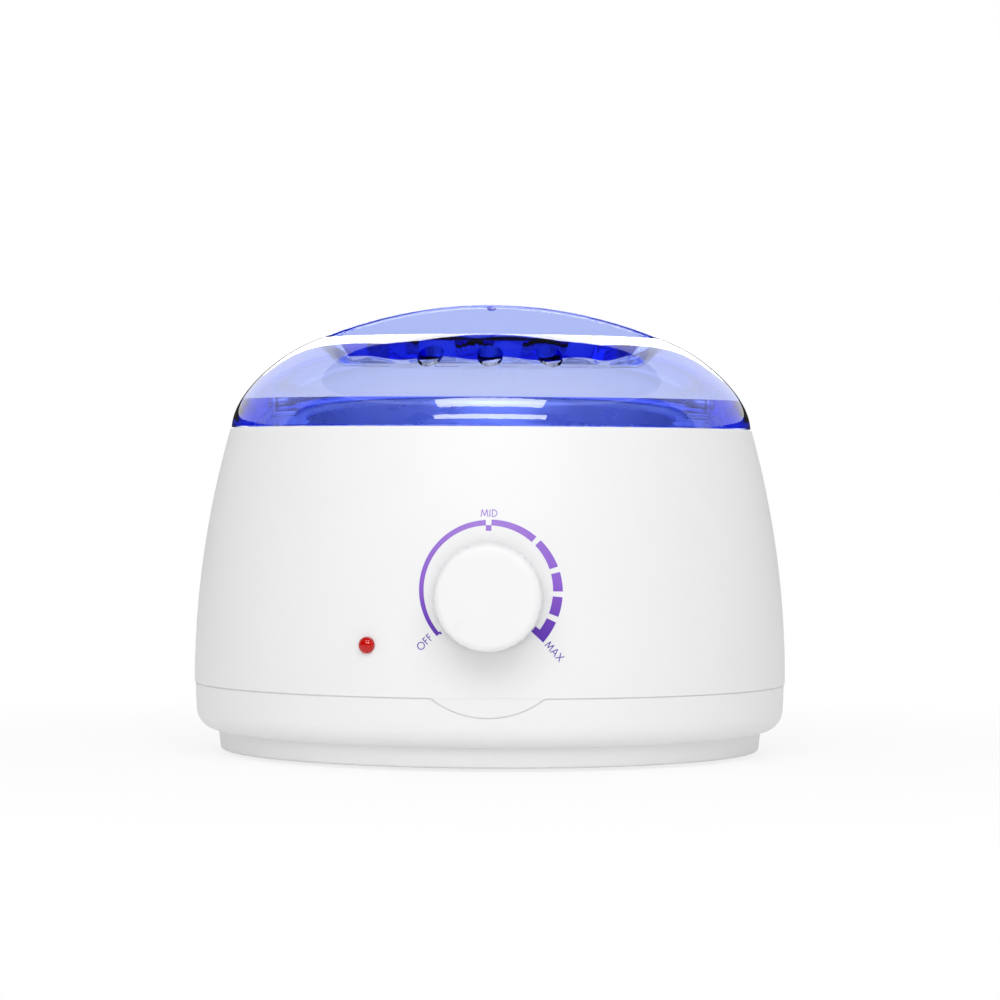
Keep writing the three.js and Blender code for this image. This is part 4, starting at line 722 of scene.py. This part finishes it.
def floor():
    """A round white floor that fades into the white surroundings away from the object."""
    work = bmesh.new()
    bmesh.ops.create_circle(work, cap_ends=True, segments=96, radius=FLOOR_R)
    mesh = bpy.data.meshes.new("studio_floor")
    work.to_mesh(mesh)
    work.free()
    look = Look("studio_floor", Base_Color=(0.93, 0.93, 0.93, 1), Roughness=1.0, Specular_Ior_Level=0.0)
    length = look.node("ShaderNodeVectorMath", operation="LENGTH")
    look.link(look.place, length.inputs[0])
    fade = look.spread(length.outputs["Value"], GLOW_NEAR, 1.0, FADE_FROM, FADE_TO, "SMOOTHSTEP")
    share = look.node("ShaderNodeMath", operation="MULTIPLY")
    look.link(fade, share.inputs[0])
    look.link(white_for_views(look.tree), share.inputs[1])
    glow = look.node("ShaderNodeEmission")
    mix = look.node("ShaderNodeMixShader")
    look.link(share.outputs["Value"], mix.inputs[0])
    look.link(look.shader.outputs["BSDF"], mix.inputs[1])
    look.link(glow.outputs["Emission"], mix.inputs[2])
    look.link(mix.outputs["Shader"], look.tree.nodes["Material Output"].inputs["Surface"])
    mesh.materials.append(look.material)
    ground = new_object("studio_floor", mesh)


def dark_sheet(name, places, faces):
    """A dark sheet of the studio, seen only where gloss reflects it."""
    sheet = from_faces(name, places, faces)
    sheet.data.materials.append(Look(name, Base_Color=(0.01, 0.01, 0.01, 1)).material)
    for ray in ("camera", "diffuse", "shadow", "volume_scatter", "transmission"):
        setattr(sheet, "visible_" + ray, False)


def dark_wall(name, radius, first, sweep, high, steps):
    """An upright dark sheet along an arc, its azimuths as for the lamps."""
    places, faces = [], []
    for i in range(steps + 1):
        turn = first + sweep * i / steps - 90
        places += [polar(radius, turn, DARK_LOW_Z), polar(radius, turn, high)]
    for i in range(steps):
        faces.append((2 * i, 2 * i + 2, 2 * i + 3, 2 * i + 1))
    dark_sheet(name, places, faces)


def dark_studio():
    """A dark room behind the camera, a low dark strip behind the object and a dark ceiling."""
    dark_wall("dark_room", 2500, -100, 200, 2600, 24)
    dark_wall("dark_skirting", 2600, 100, 160, 420, 20)
    rim = [(x, y + CEILING_BACK, z) for x, y, z in (polar(CEILING_R, 15 * i, CEILING_Z) for i in range(24))]
    dark_sheet("dark_ceiling", rim, [tuple(range(24))])


studio()
floor()
dark_studio()
light_paths = bpy.context.scene.cycles
light_paths.max_bounces = 32
light_paths.transmission_bounces = 32
light_paths.glossy_bounces = 8


# ------------------------ housing

# The seam is a shallow groove: its two edges fall back in small steps to a backing just behind the surface
SEAM_BACK_R = 93.42
TONGUE_STEPS = ((93.25, 0.24), (93.45, 0.10), (93.58, 0.0), (93.68, -0.16))
NOTCH_STEPS = ((SPIGOT_R, 0.30), (93.38, 0.42), (93.50, 0.52), (93.60, 0.66))


def tongue_prism(grow):
    """The round-bottomed prism of the tongue in the front of the seam."""
    middle = SEAM_Z - TONGUE_DROP + TONGUE_ARC_R
    return bar((0, -40, middle), (0, -BODY_R - 10, middle), TONGUE_ARC_R + grow, 160)


def side_points(low, high, inset=0.0, count=40):
    """The body's side between two heights, set in by a wall."""
    points = []
    for i in range(count + 1):
        z = low + (high - low) * i / count
        points.append((side_radius(z) - inset, z))
    return points


def upper_housing():
    low = SEAM_Z + GAP
    under = LEDGE_Z - LEDGE_T
    rim_r = side_radius(RIM_Z)
    outside = side_points(low + 0.5, RIM_Z - 1.0)
    shell = turned("upper_housing", [
        *rounded([(side_radius(low) - WALL, low), (side_radius(low), low, 0.35), outside[0]])[1:],
        *outside[1:],
        *rounded([outside[-1], (rim_r, RIM_Z, 0.9), (OPENING_R, RIM_Z, 0.5), (OPENING_R, LEDGE_Z, 0.6),
                  (LEDGE_IN_R, LEDGE_Z, 0.5), (LEDGE_IN_R, under, 0.5),
                  (side_radius(under) - WALL, under, 1.5), (side_radius(60) - WALL, 60)])[1:-1],
        *reversed(side_points(low + 6, under - 4, WALL, 20)),
        (side_radius(low) - WALL, low),
    ], closed=True)
    for outer_r, grow in TONGUE_STEPS:
        tongue = turned("tongue", [
            (SPIGOT_R + GAP, SEAM_Z - TONGUE_DROP - 6), (outer_r, SEAM_Z - TONGUE_DROP - 6),
            (outer_r + 0.15, SEAM_Z), (min(outer_r + 0.25, side_radius(low) - 0.02), low + 0.8),
            (SPIGOT_R + GAP, low + 0.8),
        ], closed=True)
        combine(tongue, [tongue_prism(grow)], "INTERSECT")
        combine(shell, [tongue], "UNION")
    combine(shell, [
        bar((0, -80, KNOB_Z), (0, -BODY_R - 5, KNOB_Z), SHAFT_HOLE_R),
        bar((0, 80, GLAND_Z), (0, BODY_R + 5, GLAND_Z), GLAND_HOLE_R),
        bar(polar(85, LAMP_DEG, LAMP_Z), polar(99, LAMP_DEG, LAMP_Z), LAMP_HOLE_R),
    ])
    posts = []
    rib_out_r = side_radius(34) - WALL / 2
    for deg in SCREW_DEGS:
        posts.append(upright(SCREW_PLACE_R, deg, POST_LOW_Z, POST_TOP_Z, POST_R))
        posts.append(block((SCREW_PLACE_R, -1, POST_RIB_LOW_Z), (rib_out_r, 1, POST_TOP_Z), deg))
    for x in (-BRACKET_POST_X, BRACKET_POST_X):
        posts.append(bar((x, -BRACKET_POST_IN_Y, KNOB_Z), (x, -BRACKET_POST_OUT_Y, KNOB_Z), BRACKET_POST_R))
    combine(shell, posts, "UNION")
    finish_piece(shell, "housing_shell", "root", "white_plastic", "upper_housing")


def shoulder(inset, count=14):
    """The quarter round between the plinth and the side, set in by a wall."""
    middle_r = BODY_R - SHOULDER_INSET - SHOULDER_R
    middle_z = BASE_Z + PLINTH_H + SHOULDER_R
    points = []
    for i in range(count + 1):
        turn = i / count * math.pi / 2
        points.append((middle_r + (SHOULDER_R - inset) * math.sin(turn),
                       middle_z - (SHOULDER_R - inset) * math.cos(turn)))
    return points


def base_housing():
    spigot_in = SPIGOT_R - SPIGOT_WALL
    top = BASE_Z + PLINTH_H
    groove_z = SEAM_Z + GAP - 0.06
    shell = turned("base_housing", rounded([
        (0, BASE_Z), (PLINTH_R - PLINTH_DRAFT, BASE_Z, 0.9), (PLINTH_R, top, 0.5),
        *shoulder(0.0),
        (BODY_R - BASE_TOP_INSET, SEAM_Z, 0.4), (SEAM_BACK_R, SEAM_Z), (SEAM_BACK_R, groove_z),
        (SPIGOT_R, groove_z), (SPIGOT_R, SPIGOT_TOP_Z, 0.4),
        (spigot_in, SPIGOT_TOP_Z, 0.4), (spigot_in, top + SHOULDER_R),
        *reversed([point for point in shoulder(WALL) if point[0] < spigot_in]),
        (PLINTH_R - PLINTH_DRAFT - WALL, FLOOR_Z, 0.8), (0, FLOOR_Z),
    ]))
    bosses = [upright(SCREW_PLACE_R, deg, BOSS_LOW_Z, BOSS_TOP_Z, BOSS_R) for deg in SCREW_DEGS]
    combine(shell, bosses, "UNION")
    cuts = []
    for deg in SCREW_DEGS:
        cuts.append(upright(SCREW_PLACE_R, deg, -5, SCREW_HEAD_Z, SCREW_HEAD_R))
        cuts.append(upright(SCREW_PLACE_R, deg, 2, 20, SCREW_SHANK_R))
    for i in range(4):
        cuts.append(upright(FOOT_PLACE_R, 45 + 90 * i, -5, FOOT_H, FOOT_R + GAP))
    for i in range(SLOTS):
        slot = slot_cutter()
        slot.data.transform(Matrix.Rotation(math.radians((i + 0.5) * 360 / SLOTS), 4, "Z"))
        cuts.append(slot)
    for inner_r, grow in NOTCH_STEPS:
        notch = turned("notch", [
            (inner_r, 5), (BODY_R + 9, 5), (BODY_R + 9, SEAM_Z + 1), (inner_r, SEAM_Z + 1),
        ], closed=True)
        cuts.append(combine(notch, [tongue_prism(grow)], "INTERSECT"))
    combine(shell, cuts)
    finish_piece(shell, "base_shell", "root", "white_plastic", "base_housing")


def slot_cutter():
    """One vent slot of the base, with round ends."""
    half = SLOT_W / 2
    outline = []
    for middle, first in ((SLOT_OUT_R - half, -90), (SLOT_IN_R + half, 90)):
        for i in range(13):
            turn = math.radians(first + 15 * i)
            outline.append((middle + half * math.cos(turn), half * math.sin(turn)))
    return prism(outline, -5, 9)


upper_housing()
base_housing()


# ------------------------ well, pot and bail

def heating_well():
    flange = OPENING_R - 0.5
    shell = turned("heating_well", rounded([
        (0, WELL_UNDER_Z), (WELL_OUT_R, WELL_UNDER_Z, 5.0), (WELL_OUT_R, WELL_FLANGE_Z, 0.6),
        (flange, WELL_FLANGE_Z, 0.3), (flange, WELL_TOP_Z, 0.3), (WELL_R, WELL_TOP_Z, 1.4),
        (WELL_R, WELL_FLOOR_Z, 3.6), (0, WELL_FLOOR_Z),
    ], 8))
    studs = [upright(STUD_PLACE_R, 45 + 90 * i, 91, 99.5, STUD_R) for i in range(4)]
    studs.append(bar((6, 10, 28), (6, 10, 34.8), EARTH_STUD_R))
    combine(shell, studs, "UNION")
    finish_piece(shell, "heating_bowl", "root", "aluminium", "heating_well")


def wax_pot():
    shell = turned("wax_pot", rounded([
        (0, POT_LOW_Z), (POT_LOW_R, POT_LOW_Z, 5.0), (POT_R, POT_FLANGE_Z, 1.6),
        (POT_FLANGE_R, POT_FLANGE_Z, 0.55), (POT_FLANGE_R, POT_TOP_Z, 0.55),
        (POT_R - POT_WALL, POT_TOP_Z, 1.2),
        (POT_LOW_R - POT_WALL, POT_LOW_Z + POT_WALL, 3.8), (0, POT_LOW_Z + POT_WALL),
    ], 8))
    finish_piece(shell, "pot_shell", "pot", "aluminium", "wax_pot")


def pot_ear(name, node, deg):
    """A bent steel ear: a foot spot-welded to the rim and an upright with an eye for the bail."""
    half, thick, foot_t, rise = 4.5, 1.2, 1.0, 6.4
    out = EAR_OUT_R
    upright = rounded([(0, 0), (-half, 0), (-half, rise, 3.2), (half, rise, 3.2), (half, 0), (0, 0)], 8)
    piece = prism(upright, 0, thick)
    piece.data.transform(
        Matrix.Translation(Vector((out - thick, 0, POT_TOP_Z)) * MM)
        @ Matrix.Rotation(math.pi / 2, 4, "Z") @ Matrix.Rotation(math.pi / 2, 4, "X")
    )
    foot = block((out - 8, -half, POT_TOP_Z), (out - 0.6, half, POT_TOP_Z + foot_t))
    combine(piece, [foot], "UNION")
    combine(piece, [bar((out - 9, 0, BAIL_Z), (out + 9, 0, BAIL_Z), BAIL_WIRE_R + GAP, 32)])
    bevel(piece, 0.22, 2, 40)
    piece.data.transform(Matrix.Rotation(math.radians(deg), 4, "Z"))
    finish_piece(piece, name, "pot", "steel", node)


def tube(name, path, radius, sides=20):
    """A round wire with flat ends along points of a level plane."""
    path = [Vector(p) for p in path]
    normal = Vector((0, 0, 1))
    places, faces = [], []
    count = len(path)
    for i, point in enumerate(path):
        along = (path[min(i + 1, count - 1)] - path[max(i - 1, 0)]).normalized()
        side = along.cross(normal).normalized()
        up = side.cross(along).normalized()
        for k in range(sides):
            turn = 2 * math.pi * k / sides
            places.append(point + (side * math.cos(turn) + up * math.sin(turn)) * radius)
    for i in range(count - 1):
        for k in range(sides):
            n = (k + 1) % sides
            faces.append((i * sides + k, i * sides + n, (i + 1) * sides + n, (i + 1) * sides + k))
    faces.append(tuple(range(sides)))
    faces.append(tuple(range((count - 1) * sides, count * sides)))
    return from_faces(name, places, faces)


def pot_bail():
    """The handle: a flattened hoop with short straight ends in the ears, leant back onto the rim."""
    bend = BAIL_R + BAIL_BEND_R
    hoop_r = BAIL_R - BAIL_BEND_R
    half = [(BAIL_END_X, 0), (bend + 1, 0)]
    for i in range(9):
        t = i / 8
        half.append((bend * (1 - t) ** 2 + 2 * BAIL_R * t * (1 - t) + BAIL_R * t ** 2, BAIL_BEND_R * t ** 2))
    path = list(half)
    for i in range(1, 96):
        turn = math.pi * i / 96
        path.append((BAIL_R * math.cos(turn), BAIL_BEND_R + hoop_r * math.sin(turn)))
    path += [(-x, y) for x, y in reversed(half)]
    wire = tube("pot_bail", [(x, y, 0) for x, y in path], BAIL_WIRE_R)
    bevel(wire, 0.35, 3, 60)
    wire.data.transform(Matrix.Translation((0, 0, BAIL_Z * MM)) @ Matrix.Rotation(BAIL_TILT, 4, "X"))
    finish_piece(wire, "bail_wire", "bail", "steel", "pot_bail")


heating_well()
wax_pot()
pot_ear("ear_right", "pot_ear_right", 0)
pot_ear("ear_left", "pot_ear_left", 180)
pot_bail()


# ------------------------ lid

def lid_skin(inset, dome_count=24, shoulder_count=28):
    """The lid's skin from the axis to its edge, set in by a wall."""
    slope = math.asin(SHOULDER_IN_R / LID_ARC_R)
    start = Vector((SHOULDER_IN_R, dome_height(SHOULDER_IN_R)))
    edge = Vector((LID_EDGE_R, LID_EDGE_Z))
    pull_a = start + Vector((math.cos(slope), -math.sin(slope))) * TOP_PULL
    pull_b = edge + Vector((-math.sin(EDGE_LEAN), math.cos(EDGE_LEAN))) * EDGE_PULL
    points = []
    for i in range(dome_count):
        turn = i / dome_count * slope
        radius = LID_ARC_R - inset * (LID_TOP_SHARE + (1 - LID_TOP_SHARE) * i / dome_count)
        points.append((radius * math.sin(turn), LID_TOP_Z - LID_ARC_R + radius * math.cos(turn)))
    for i in range(shoulder_count + 1):
        t = i / shoulder_count
        u = 1 - t
        at = start * u ** 3 + pull_a * 3 * t * u ** 2 + pull_b * 3 * t ** 2 * u + edge * t ** 3
        along = (pull_a - start) * u ** 2 + (pull_b - pull_a) * 2 * t * u + (edge - pull_b) * t ** 2
        along.normalize()
        points.append((at.x + along.y * inset, at.y - along.x * inset))
    return points


def recess(inset, fin_w):
    """The two finger recesses: a drum with a rounded foot and mouth, less the fin."""
    floor_z = RECESS_Z - inset
    wall_r = RECESS_R + inset
    mouth = dome_height(RECESS_R) + 0.05
    drum = turned("drum", rounded([
        (0, floor_z), (wall_r - DISH_IN, floor_z, RECESS_FOOT_R),
        (wall_r - RECESS_DRAFT, mouth - 1.5, RECESS_MOUTH_R), (wall_r, mouth + 0.6),
        (wall_r, LID_TOP_Z + 10), (0, LID_TOP_Z + 10),
    ], 8))
    # The floor rises a little towards the rear
    for vertex in drum.data.vertices:
        share = min(1.0, max(0.0, (mouth - vertex.co.z / MM) / (mouth - floor_z)))
        vertex.co.z += share * FLOOR_RISE * (vertex.co.y + wall_r * MM)
    return combine(drum, [block((-100, -fin_w / 2, floor_z - 10), (100, fin_w / 2, LID_TOP_Z + 20))])


def foot_face():
    """The inner face of the lid's solid foot, from its top down: it leans less than the skin outside it."""
    skin = [Vector(point) for point in lid_skin(0.0, 24, 84) if point[1] < FOOT_TOP_Z][::-1]
    at = Vector((LIP_IN_R, LID_EDGE_Z))
    face = [(LIP_IN_R, LID_EDGE_Z - 20), tuple(at)]
    for low, high in zip(skin, skin[1:]):
        rise = high.y - low.y
        at = at + Vector((-math.tan(math.atan2(low.x - high.x, rise) - FOOT_LEAN) * rise, rise))
        face.append(tuple(at))
    face[-1] = (face[-1][0], FOOT_TOP_Z)
    return face[::-1]


def vent_land():
    """The solid part between the front skin and the recess, which the vents pass through."""
    low = RECESS_Z - LAND_DROP
    outline = [(LAND_HIGH_X, LID_TOP_Z), (-LAND_HIGH_X, LID_TOP_Z)]
    for i in range(49):
        x = LAND_LOW_X * (i / 24 - 1)
        ends = LAND_END_RISE * max(0.0, abs(x) / LAND_LOW_X - 0.8) / LAND_END_SHARE
        outline.append((x, low + ends + LAND_WAVE * math.sin(0.31 * x + 0.4 * math.sin(0.17 * x))))
    piece = prism(outline, FIN_W / 2, LID_EDGE_R)
    piece.data.transform(Matrix.Rotation(math.pi / 2, 4, "X"))
    return piece


def fin_edges():
    """Cutters that round the two long top edges of the fin, which follow the dome."""
    outer = LID_ARC_R - 0.06
    middle = outer - FIN_EDGE
    side = FIN_W / 2
    profile = [(middle, side + 3)]
    for i in range(9):
        turn = math.pi / 2 * (1 - i / 8)
        profile.append((middle + FIN_EDGE * math.cos(turn), side - FIN_EDGE + FIN_EDGE * math.sin(turn)))
    profile += [(outer + 3, side - FIN_EDGE), (outer + 3, side + 3)]
    within_r = RECESS_R + 0.4
    cutters = []
    for sign in (1, -1):
        ring = turned("edge", profile, 720, closed=True)
        ring.data.transform(
            Matrix.Translation((0, 0, (LID_TOP_Z - LID_ARC_R) * MM))
            @ Matrix.Rotation(sign * math.pi / 2, 4, "X")
        )
        inside = turned("inside", [
            (0, RECESS_Z), (within_r, RECESS_Z), (within_r, LID_TOP_Z + 9), (0, LID_TOP_Z + 9),
        ])
        cutters.append(combine(ring, [inside], "INTERSECT"))
    return cutters


def gate_nub():
    """The mark that the mould's gate leaves under the middle of the lid."""
    low = LID_TOP_Z - LID_WALL * LID_TOP_SHARE
    turns = [math.pi / 2 * i / 8 for i in range(9)]
    outline = [(GATE_R * math.sin(turn), low - GATE_DEPTH * math.cos(turn)) for turn in turns]
    return turned("nub", [*outline, (GATE_R, low + 0.5), (0, low + 0.5)], 48)


def lid():
    """The lid; it throws no shadow, because light through clear plastic reaches what is under it."""
    outer = turned("lid", [*lid_skin(0.0), (0, LID_EDGE_Z)])
    inner = turned("lid_inside", [
        *lid_skin(LID_WALL), (LID_EDGE_R - LID_WALL, LID_EDGE_Z - 10), (0, LID_EDGE_Z - 10),
    ])
    foot = turned("foot", [
        (LID_EDGE_R + 9, FOOT_TOP_Z), *foot_face(), (LID_EDGE_R + 9, LID_EDGE_Z - 20),
    ], closed=True)
    combine(inner, [foot, recess(LID_WALL, FIN_W - 2 * FIN_WALL), vent_land(), gate_nub()])
    lip = turned("lip", rounded([
        (LIP_IN_R, LID_EDGE_Z + 2), (LIP_IN_R, LIP_LOW_Z, LIP_ROUND), (LIP_R, LIP_LOW_Z, LIP_ROUND),
        (LIP_R, LID_EDGE_Z + 2),
    ]), closed=True)
    combine(outer, [inner])
    combine(outer, [lip], "UNION")
    cuts = [recess(0.0, FIN_W), *fin_edges()]
    for step in (-VENT_STEP, 0, VENT_STEP):
        cuts.append(upright(VENT_PLACE_R, step - 90, 110, 145, VENT_R))
    combine(outer, cuts)
    finish_piece(outer, "lid_shell", "lid", "clear_blue", "lid", deg=28)
    outer.visible_shadow = False


lid()


# ------------------------ knob, dial, lamp, gland and feet

def knob():
    """The fluted knob, hollow around a hub with a D-shaped bore, made upright and then laid on its side."""
    outline = rounded([
        (0, 0), (KNOB_R, 0, 0.3), (KNOB_R - KNOB_DRAFT, KNOB_DEPTH, KNOB_EDGE), (0, KNOB_DEPTH),
    ], 10)[1:]
    around = 12 * FLUTES
    places, faces = [(0, 0, 0)], []
    levels = []
    for (r0, z0), (r1, z1) in zip(outline, outline[1:]):
        parts = 6 if abs(z1 - z0) > 3 else 1
        for i in range(parts):
            levels.append((r0 + (r1 - r0) * i / parts, z0 + (z1 - z0) * i / parts))
    for r in (KNOB_FACE_R, 8.0, 5.0, 2.0):
        levels.append((r, KNOB_DEPTH))
    for r, z in levels:
        fade = min(1.0, max(0.0, (KNOB_DEPTH - 1.0 - z) / 1.5)) * min(1.0, max(0.0, r - KNOB_FACE_R))
        for i in range(around):
            turn = 2 * math.pi * i / around
            radius = r - FLUTE_DEPTH * fade * (0.5 - 0.5 * math.cos(turn * FLUTES))
            places.append((radius * math.cos(turn), radius * math.sin(turn), z))
    top = len(places)
    places.append((0, 0, KNOB_DEPTH))
    last = 1 + (len(levels) - 1) * around
    for i in range(around):
        j = (i + 1) % around
        faces.append((0, 1 + j, 1 + i))
        faces.append((top, last + i, last + j))
        for row in range(len(levels) - 1):
            a = 1 + row * around
            faces.append((a + i, a + j, a + around + j, a + around + i))
    piece = from_faces("knob", places, faces)
    hollow = turned("hollow", [
        (HUB_R, -5), (KNOB_INSIDE_R, -5), (KNOB_INSIDE_R, 12), (HUB_R, 12),
    ], 96, closed=True)
    bore = bar((0, 0, -5), (0, 0, 11.3), SHAFT_R)
    combine(bore, [block((SHAFT_FLAT_X, -5, -9), (9, 5, 20))])
    groove = block(
        (KNOB_R - 7.4, -0.5, KNOB_DEPTH - 0.12), (KNOB_R + 2, 0.6, KNOB_DEPTH + 5), POINTER_DEG + 90,
    )
    combine(piece, [hollow, bore, groove])
    piece.data.transform(
        Matrix.Translation((0, -KNOB_BACK_Y * MM, KNOB_Z * MM)) @ Matrix.Rotation(math.pi / 2, 4, "X")
    )
    finish_piece(piece, "knob_cap", "knob", "white_plastic", "knob", deg=35)


def wall_point(x, z, proud):
    """A place on the front of the body straight behind a place of the flat artwork."""
    radius = side_radius(z) + proud
    return (x, -math.sqrt(radius ** 2 - x ** 2), z)


def arc_patch(first, last, outer_first, outer_last, inner=DIAL_R):
    """A piece of the dial's ring between two angles, clockwise from the top, as rows of (x, z)."""
    count = max(2, int(abs(last - first) / 1.5))
    rows = []
    for i in range(count + 1):
        t = i / count
        turn = math.radians(first + (last - first) * t)
        outer = outer_first + (outer_last - outer_first) * t
        radii = [inner + (outer - inner) * k / 3 for k in range(4)]
        rows.append([(radius * math.sin(turn), DIAL_Z + radius * math.cos(turn)) for radius in radii])
    return rows


def stroke_patch(start, end, width):
    """A straight stroke as rows of (x, z)."""
    start, end = Vector(start), Vector(end)
    side = (end - start).normalized().orthogonal() * width / 2
    rows = []
    for i in range(4):
        point = start.lerp(end, i / 3)
        rows.append([tuple(point + side), tuple(point - side)])
    return rows


# Each letter's width and strokes, in shares of its height
GLYPHS = {
    "M": (0.92, [
        ((0.0, 0.0), (0.14, 1.0)), ((0.14, 1.0), (0.46, 0.15)),
        ((0.46, 0.15), (0.78, 1.0)), ((0.78, 1.0), (0.92, 0.0)),
    ]),
    "I": (0.10, [((0.05, 0.0), (0.05, 1.0))]),
    "F": (0.45, [((0.05, 0.0), (0.05, 1.0)), ((0.0, 0.95), (0.45, 0.95)), ((0.05, 0.55), (0.42, 0.55))]),
    "A": (0.80, [((0.0, 0.0), (0.40, 1.0)), ((0.40, 1.0), (0.80, 0.0)), ((0.16, 0.33), (0.64, 0.33))]),
    "X": (0.72, [((0.0, 0.0), (0.72, 1.0)), ((0.0, 1.0), (0.72, 0.0))]),
}


def round_strokes(middle, radius_x, radius_z, first, last, count):
    points = []
    for i in range(count + 1):
        turn = math.radians(first + (last - first) * i / count)
        points.append((middle[0] + radius_x * math.cos(turn), middle[1] + radius_z * math.sin(turn)))
    return list(zip(points, points[1:]))


GLYPHS["O"] = (1.0, round_strokes((0.5, 0.5), 0.47, 0.47, 0, 360, 24))
GLYPHS["D"] = (0.72, [((0.05, 0.0), (0.05, 1.0)), *round_strokes((0.05, 0.5), 0.64, 0.46, -90, 90, 16)])


def word_patches(word, middle, height, deg, space=0.22, width=0.27):
    """A word in plain strokes, centred on a place of the dial and turned."""
    total = sum(GLYPHS[c][0] for c in word) + space * (len(word) - 1)
    turn = Matrix.Rotation(math.radians(deg), 2)
    patches, x = [], -total / 2
    for letter in word:
        advance, strokes = GLYPHS[letter]
        for a, b in strokes:
            ends = [Vector(middle) + turn @ (Vector((x + p[0], p[1] - 0.5)) * height) for p in (a, b)]
            patches.append(stroke_patch(ends[0], ends[1], width))
        x += advance + space
    return patches


def dial_print():
    """The ring, its mid mark and the three words, as a thin film of ink on the wall."""
    patches = [
        arc_patch(-132.0, -2.4, DIAL_R + 1.2, DIAL_R + 1.6),
        arc_patch(2.4, 41.8, DIAL_R + 1.7, DIAL_R + 2.1),
        arc_patch(46.2, 71.0, DIAL_R + 2.2, DIAL_R + 2.6),
        arc_patch(75.5, 90.8, DIAL_R + 2.7, DIAL_R + 2.9),
        arc_patch(95.2, 110.6, DIAL_R + 2.9, DIAL_R + 3.0),
        arc_patch(115.2, 133.3, DIAL_R + 3.0, DIAL_R + 3.2),
        arc_patch(127.0, 133.3, DIAL_R + 0.05, DIAL_R + 0.05, 17.5),
        arc_patch(-133.2, -130.5, DIAL_R + 0.05, DIAL_R + 0.05, 18.6),
        stroke_patch((0.0, DIAL_Z + DIAL_R - 1.6), (0.0, DIAL_Z + DIAL_R + 0.05), 1.65),
    ]
    patches += word_patches("MID", (0.15, DIAL_Z + 22.7), LETTER_H, 0.0)
    patches += word_patches("OFF", (-18.7, DIAL_Z - 15.4), LETTER_H, 46.0)
    patches += word_patches("MAX", (19.6, DIAL_Z - 17.9), LETTER_H, -48.0)
    places, faces = [], []
    for rows in patches:
        wide = len(rows[0])
        start = len(places)
        for proud in (-INK_SUNK, INK_PROUD):
            for row in rows:
                for x, z in row:
                    places.append(wall_point(x, z, proud))
        layer = wide * len(rows)
        for i in range(len(rows) - 1):
            for k in range(wide - 1):
                a = start + i * wide + k
                faces.append((a, a + 1, a + 1 + wide, a + wide))
                faces.append((a + layer, a + layer + wide, a + layer + 1 + wide, a + layer + 1))
        border = [(i * wide, (i + 1) * wide) for i in range(len(rows) - 1)]
        border += [((len(rows) - 1) * wide + k, (len(rows) - 1) * wide + k + 1) for k in range(wide - 1)]
        border += [((i + 1) * wide + wide - 1, i * wide + wide - 1) for i in range(len(rows) - 1)]
        border += [(k + 1, k) for k in range(wide - 1)]
        for a, b in border:
            faces.append((start + a, start + b, start + b + layer, start + a + layer))
    piece = from_faces("dial_print", places, faces, merge=False)
    finish_piece(piece, "dial_print", "root", "white_plastic", look=dial_ink().material, deg=None)


def lamp_lens():
    """A domed lens with a small flange, on its own axis, then turned to where it sits in the wall."""
    height = LAMP_DOME_H - 0.05
    dome = []
    for i in range(1, 12):
        turn = math.radians(90 * i / 12)
        dome.append((LAMP_R * math.cos(turn), LAMP_FLANGE + height * math.sin(turn)))
    dome.append((0, LAMP_FLANGE + LAMP_DOME_H - 0.05))
    piece = turned("lamp_lens", [(0, -4), (LAMP_STEM_R, -4), (LAMP_STEM_R, GAP), (LAMP_R, GAP), *dome], 64)
    piece.data.transform(
        Matrix.Rotation(math.radians(LAMP_DEG + 90), 4, "Z")
        @ Matrix.Translation((0, -side_radius(LAMP_Z) * MM, LAMP_Z * MM))
        @ Matrix.Rotation(math.pi / 2, 4, "X")
    )
    finish_piece(piece, "lamp_dome", "root", "red_lens", "lamp_lens", deg=50)


def cord_gland():
    """Rubber gland with a rounded outer flange, on its own axis behind the housing."""
    sag = BODY_R - math.sqrt(BODY_R ** 2 - GLAND_R ** 2)
    behind = -WALL - 2 * GAP - sag
    inner = behind - GLAND_FLANGE
    neck_r = GLAND_HOLE_R - GAP
    piece = turned("cord_gland", rounded([
        (GLAND_BORE_R, inner), (GLAND_R, inner, 0.5), (GLAND_R, behind, 0.3), (neck_r, behind), (neck_r, GAP),
        (GLAND_R, GAP, 0.3), (GLAND_R, 2.3, 1.3), (GLAND_BORE_R, 2.3, 0.7), (GLAND_BORE_R, inner),
    ], 6)[:-1], 96, closed=True)
    piece.data.transform(
        Matrix.Translation((0, side_radius(GLAND_Z - GLAND_R) * MM, GLAND_Z * MM))
        @ Matrix.Rotation(-math.pi / 2, 4, "X")
    )
    finish_piece(piece, "gland_sleeve", "root", "black_rubber", "cord_gland")


def feet():
    for i in range(4):
        piece = turned("foot", rounded([
            (0, 0), (3.2, 0, 0.2), (3.4, 0.25, 0.2), (FOOT_R, 0.0, 0.7), (FOOT_R, FOOT_H), (0, FOOT_H),
        ]), 72)
        piece.data.transform(Matrix.Translation(Vector(polar(FOOT_PLACE_R, 45 + 90 * i, 0)) * MM))
        finish_piece(piece, f"foot_pad_{i + 1}", "root", "foot_rubber", f"foot_{i + 1}")


knob()
dial_print()
lamp_lens()
cord_gland()
feet()
